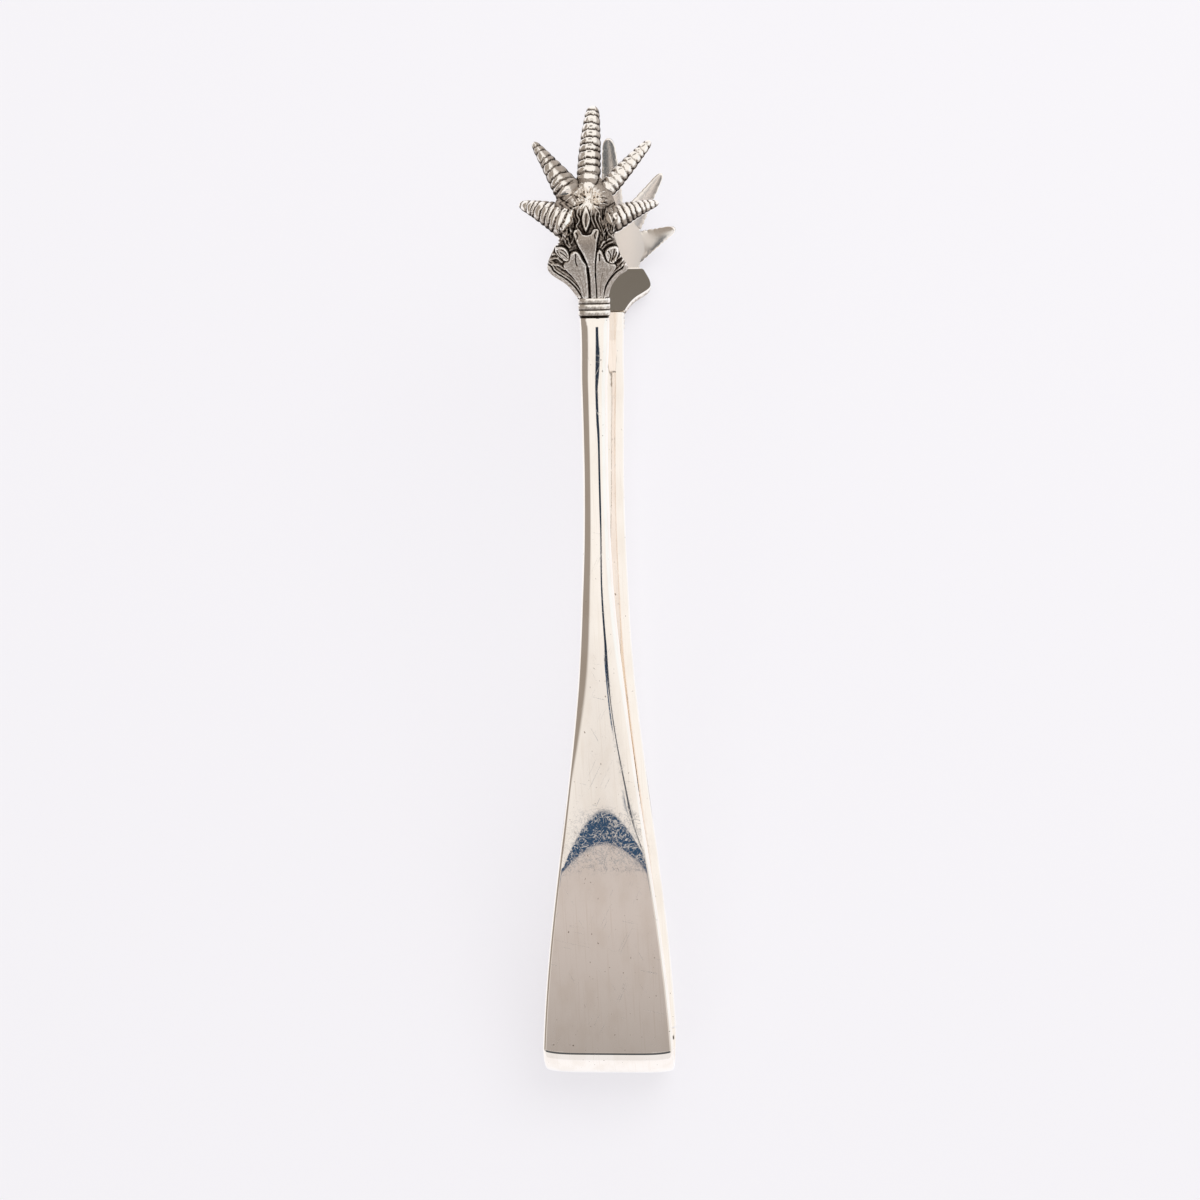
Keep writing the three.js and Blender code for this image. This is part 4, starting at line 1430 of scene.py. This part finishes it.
# %% Room towards the bow
PALE = (1.03, 1.02, 1.01)
BOW_SIDE = (-0.2, -0.1)
LEAST_REACH = 0.01
NEAR_PATCH = (0.78, 0.75, 0.735)
NEAR_FROM = (0.4, 0.9)
NEAR_TO = (1.4, 2.0)
LOW_SKY = (0.91, 0.915, 0.945)
LOW_SKY_TO = (0.25, 0.36)
CREASE_DARK = (0.09, 0.10, 0.11)
PATCH_LOW = (0.34, 0.315, 0.30)
PATCH_TOP = (0.63, 0.58, 0.565)
BLUE_EDGE = (0.04, 0.085, 0.165)
PATCH_MIDDLE = -0.067
PATCH_HALF = (0.22, 0.27)
PATCH_SPREAD = (0.65, 0.8, 0.3, 0.0)
PATCH_FROM = (0.34, 0.4)
CREASE_TO = (0.8, 0.98)
PATCH_CHANGE = (0.95, 1.25)
BLUE_FROM = (1.335, 1.355)
BLUE_TO = (1.57, 1.6)
CREST_DARK = (0.028, 0.042, 0.07)
CREST_BENDS = (
    (1.62, 1.72, 0.125, 0.155), (1.78, 1.88, 0.0, 0.05), (1.93, 2.1, 0.0, 0.165), (2.4, 2.85, 0.0, -0.22),
)
CREST_WIDTHS = ((1.735, 1.8, 0.009, 0.05), (1.9, 2.2, 0.0, 0.05))
CREST_EDGE = (-0.006, 0.006)
CREST_FROM = (1.59, 1.61)
CREST_TO = (3.2, 3.6)
BAND_MIDDLE = 0.11
BAND_HALF = (0.013, 0.02)
BAND_FROM = (1.708, 1.722)
BAND_TO = (1.8, 1.82)


def bow_side(tree, x, y, z):
    """Layers of the room towards the bow, each with its share and its colour.

    Steepness is z over the reach towards the bow. The grey patch is what the cheek mirrors: dark at its
    foot for the crease, lighter above, with a blue edge on top. Over it runs a dark stripe, whose middle
    and width are sums of smooth steps, for the fine line on the crest of the arm.
    """
    towards_bow = fall_node(tree, y, *BOW_SIDE)
    reach = math_node(tree, "MAXIMUM", math_node(tree, "MULTIPLY", y, -1.0), LEAST_REACH)
    steep = math_node(tree, "DIVIDE", z, reach)

    def between(rise, fall, *others):
        """Share of a region that starts and ends at some steepness, towards the bow."""
        shares = ramp_node(tree, steep, *rise), fall_node(tree, steep, *fall), *others
        return chain(tree, "MULTIPLY", towards_bow, *shares)

    low_sky = chain(tree, "MULTIPLY", towards_bow, fall_node(tree, steep, *LOW_SKY_TO))
    aside = chain(tree, "SUBTRACT", apart(tree, x, PATCH_MIDDLE), ramp_node(tree, steep, *PATCH_SPREAD))
    patch = between(PATCH_FROM, BLUE_TO, fall_node(tree, aside, *PATCH_HALF))
    grey = colour_mix(tree, ramp_node(tree, steep, *PATCH_CHANGE), PATCH_LOW, PATCH_TOP)
    grey = colour_mix(tree, ramp_node(tree, steep, *CREASE_TO), CREASE_DARK, grey)
    grey = colour_mix(tree, ramp_node(tree, steep, *BLUE_FROM), grey, BLUE_EDGE)
    middle = chain(tree, "ADD", *(ramp_node(tree, steep, *bend) for bend in CREST_BENDS))
    half_width = chain(tree, "ADD", *(ramp_node(tree, steep, *step) for step in CREST_WIDTHS))
    beyond = math_node(tree, "SUBTRACT", apart(tree, x, middle), half_width)
    crest = between(CREST_FROM, CREST_TO, fall_node(tree, beyond, *CREST_EDGE))
    band = between(BAND_FROM, BAND_TO, fall_node(tree, apart(tree, x, BAND_MIDDLE), *BAND_HALF))
    return [
        (between(NEAR_FROM, NEAR_TO), NEAR_PATCH), (low_sky, LOW_SKY), (patch, grey),
        (crest, CREST_DARK), (band, BLUE_EDGE),
    ]


print("the cheek's grey patch lies between steepness", PATCH_FROM[0], "and", BLUE_TO[1])

# %% Other sides of the room, and the room itself
RIGHT_WINDOW = (1.02, 1.08, 1.13)
RIGHT_FROM = (0.62, 0.8)
RIGHT_FOOT = (0.0, 0.1)
LEFT_DARK = (0.36, 0.32, 0.285)
LEFT_FROM = (-0.6, -0.45)
LEFT_TOP = (0.75, 0.88)
LEFT_END = (-0.72, -0.62)
FAR_DARK = (0.16, 0.145, 0.125)
FAR_FROM = (0.55, 0.72)
FAR_FOOT = (0.48, 0.55)
FAR_TOP = (0.62, 0.72)
FAR_MIDDLE = -0.03
FAR_HALF = (0.14, 0.3)
BACKDROP = (0.913, 0.896, 0.922)


def other_sides(tree, x, y, z):
    """Layers of the room to the right, to the left and beyond the claws, each a share and a colour."""
    right = ramp_node(tree, x, *RIGHT_FROM), ramp_node(tree, z, *RIGHT_FOOT)
    left = fall_node(tree, x, *LEFT_FROM), fall_node(tree, z, *LEFT_TOP), ramp_node(tree, y, *LEFT_END)
    far = (
        ramp_node(tree, y, *FAR_FROM), ramp_node(tree, z, *FAR_FOOT), fall_node(tree, z, *FAR_TOP),
        fall_node(tree, apart(tree, x, FAR_MIDDLE), *FAR_HALF),
    )
    sides = (right, RIGHT_WINDOW), (left, LEFT_DARK), (far, FAR_DARK)
    return [(chain(tree, "MULTIPLY", *shares), colour) for shares, colour in sides]


def studio_room():
    """World whose colour is a function of the direction (x, y, z): each region is a product of smooth
    steps, laid over the pale dome one after another. The camera sees only the plain backdrop."""
    world = bpy.data.worlds.new("room")
    bpy.context.scene.world = world
    world.use_nodes = True
    tree = world.node_tree
    direction = tree.nodes.new("ShaderNodeSeparateXYZ")
    tree.links.new(tree.nodes.new("ShaderNodeTexCoord").outputs["Generated"], direction.inputs[0])
    seen = tree.nodes.new("ShaderNodeLightPath").outputs["Is Camera Ray"]
    layers = bow_side(tree, *direction.outputs) + other_sides(tree, *direction.outputs)
    colour = PALE
    for share, tone in [*layers, (seen, BACKDROP)]:
        colour = colour_mix(tree, share, colour, tone)
    tree.links.new(colour, tree.nodes["Background"].inputs["Color"])
    return world


room = studio_room()
print("room made with", len(room.node_tree.nodes), "nodes")

# %% [markdown]
# ## Soft lamp
# One broad lamp from the upper right lifts the table to its pale tone and lays the faint shadow that
# shows to the left of the arms and below the bow. It is kept out of the mirror, where the dome already
# shows the light.

# %% Lamp
LAMP_PLACE = (0.25, 0.35, 0.6)
LAMP_SIZE = 0.5
LAMP_POWER = 1.8

lamp_data = bpy.data.lights.new("soft_lamp", "AREA")
lamp_data.shape = "DISK"
lamp_data.size = LAMP_SIZE
lamp_data.energy = LAMP_POWER
lamp = bpy.data.objects.new("soft_lamp", lamp_data)
aim = (-Vector(LAMP_PLACE)).to_track_quat("-Z", "Y")
lamp.matrix_world = Matrix.Translation(LAMP_PLACE) @ aim.to_matrix().to_4x4()
lamp.visible_glossy = False
bpy.context.scene.collection.objects.link(lamp)
bpy.context.scene.view_settings.view_transform = "Standard"
print("lamp of", LAMP_POWER, "W at", LAMP_PLACE)
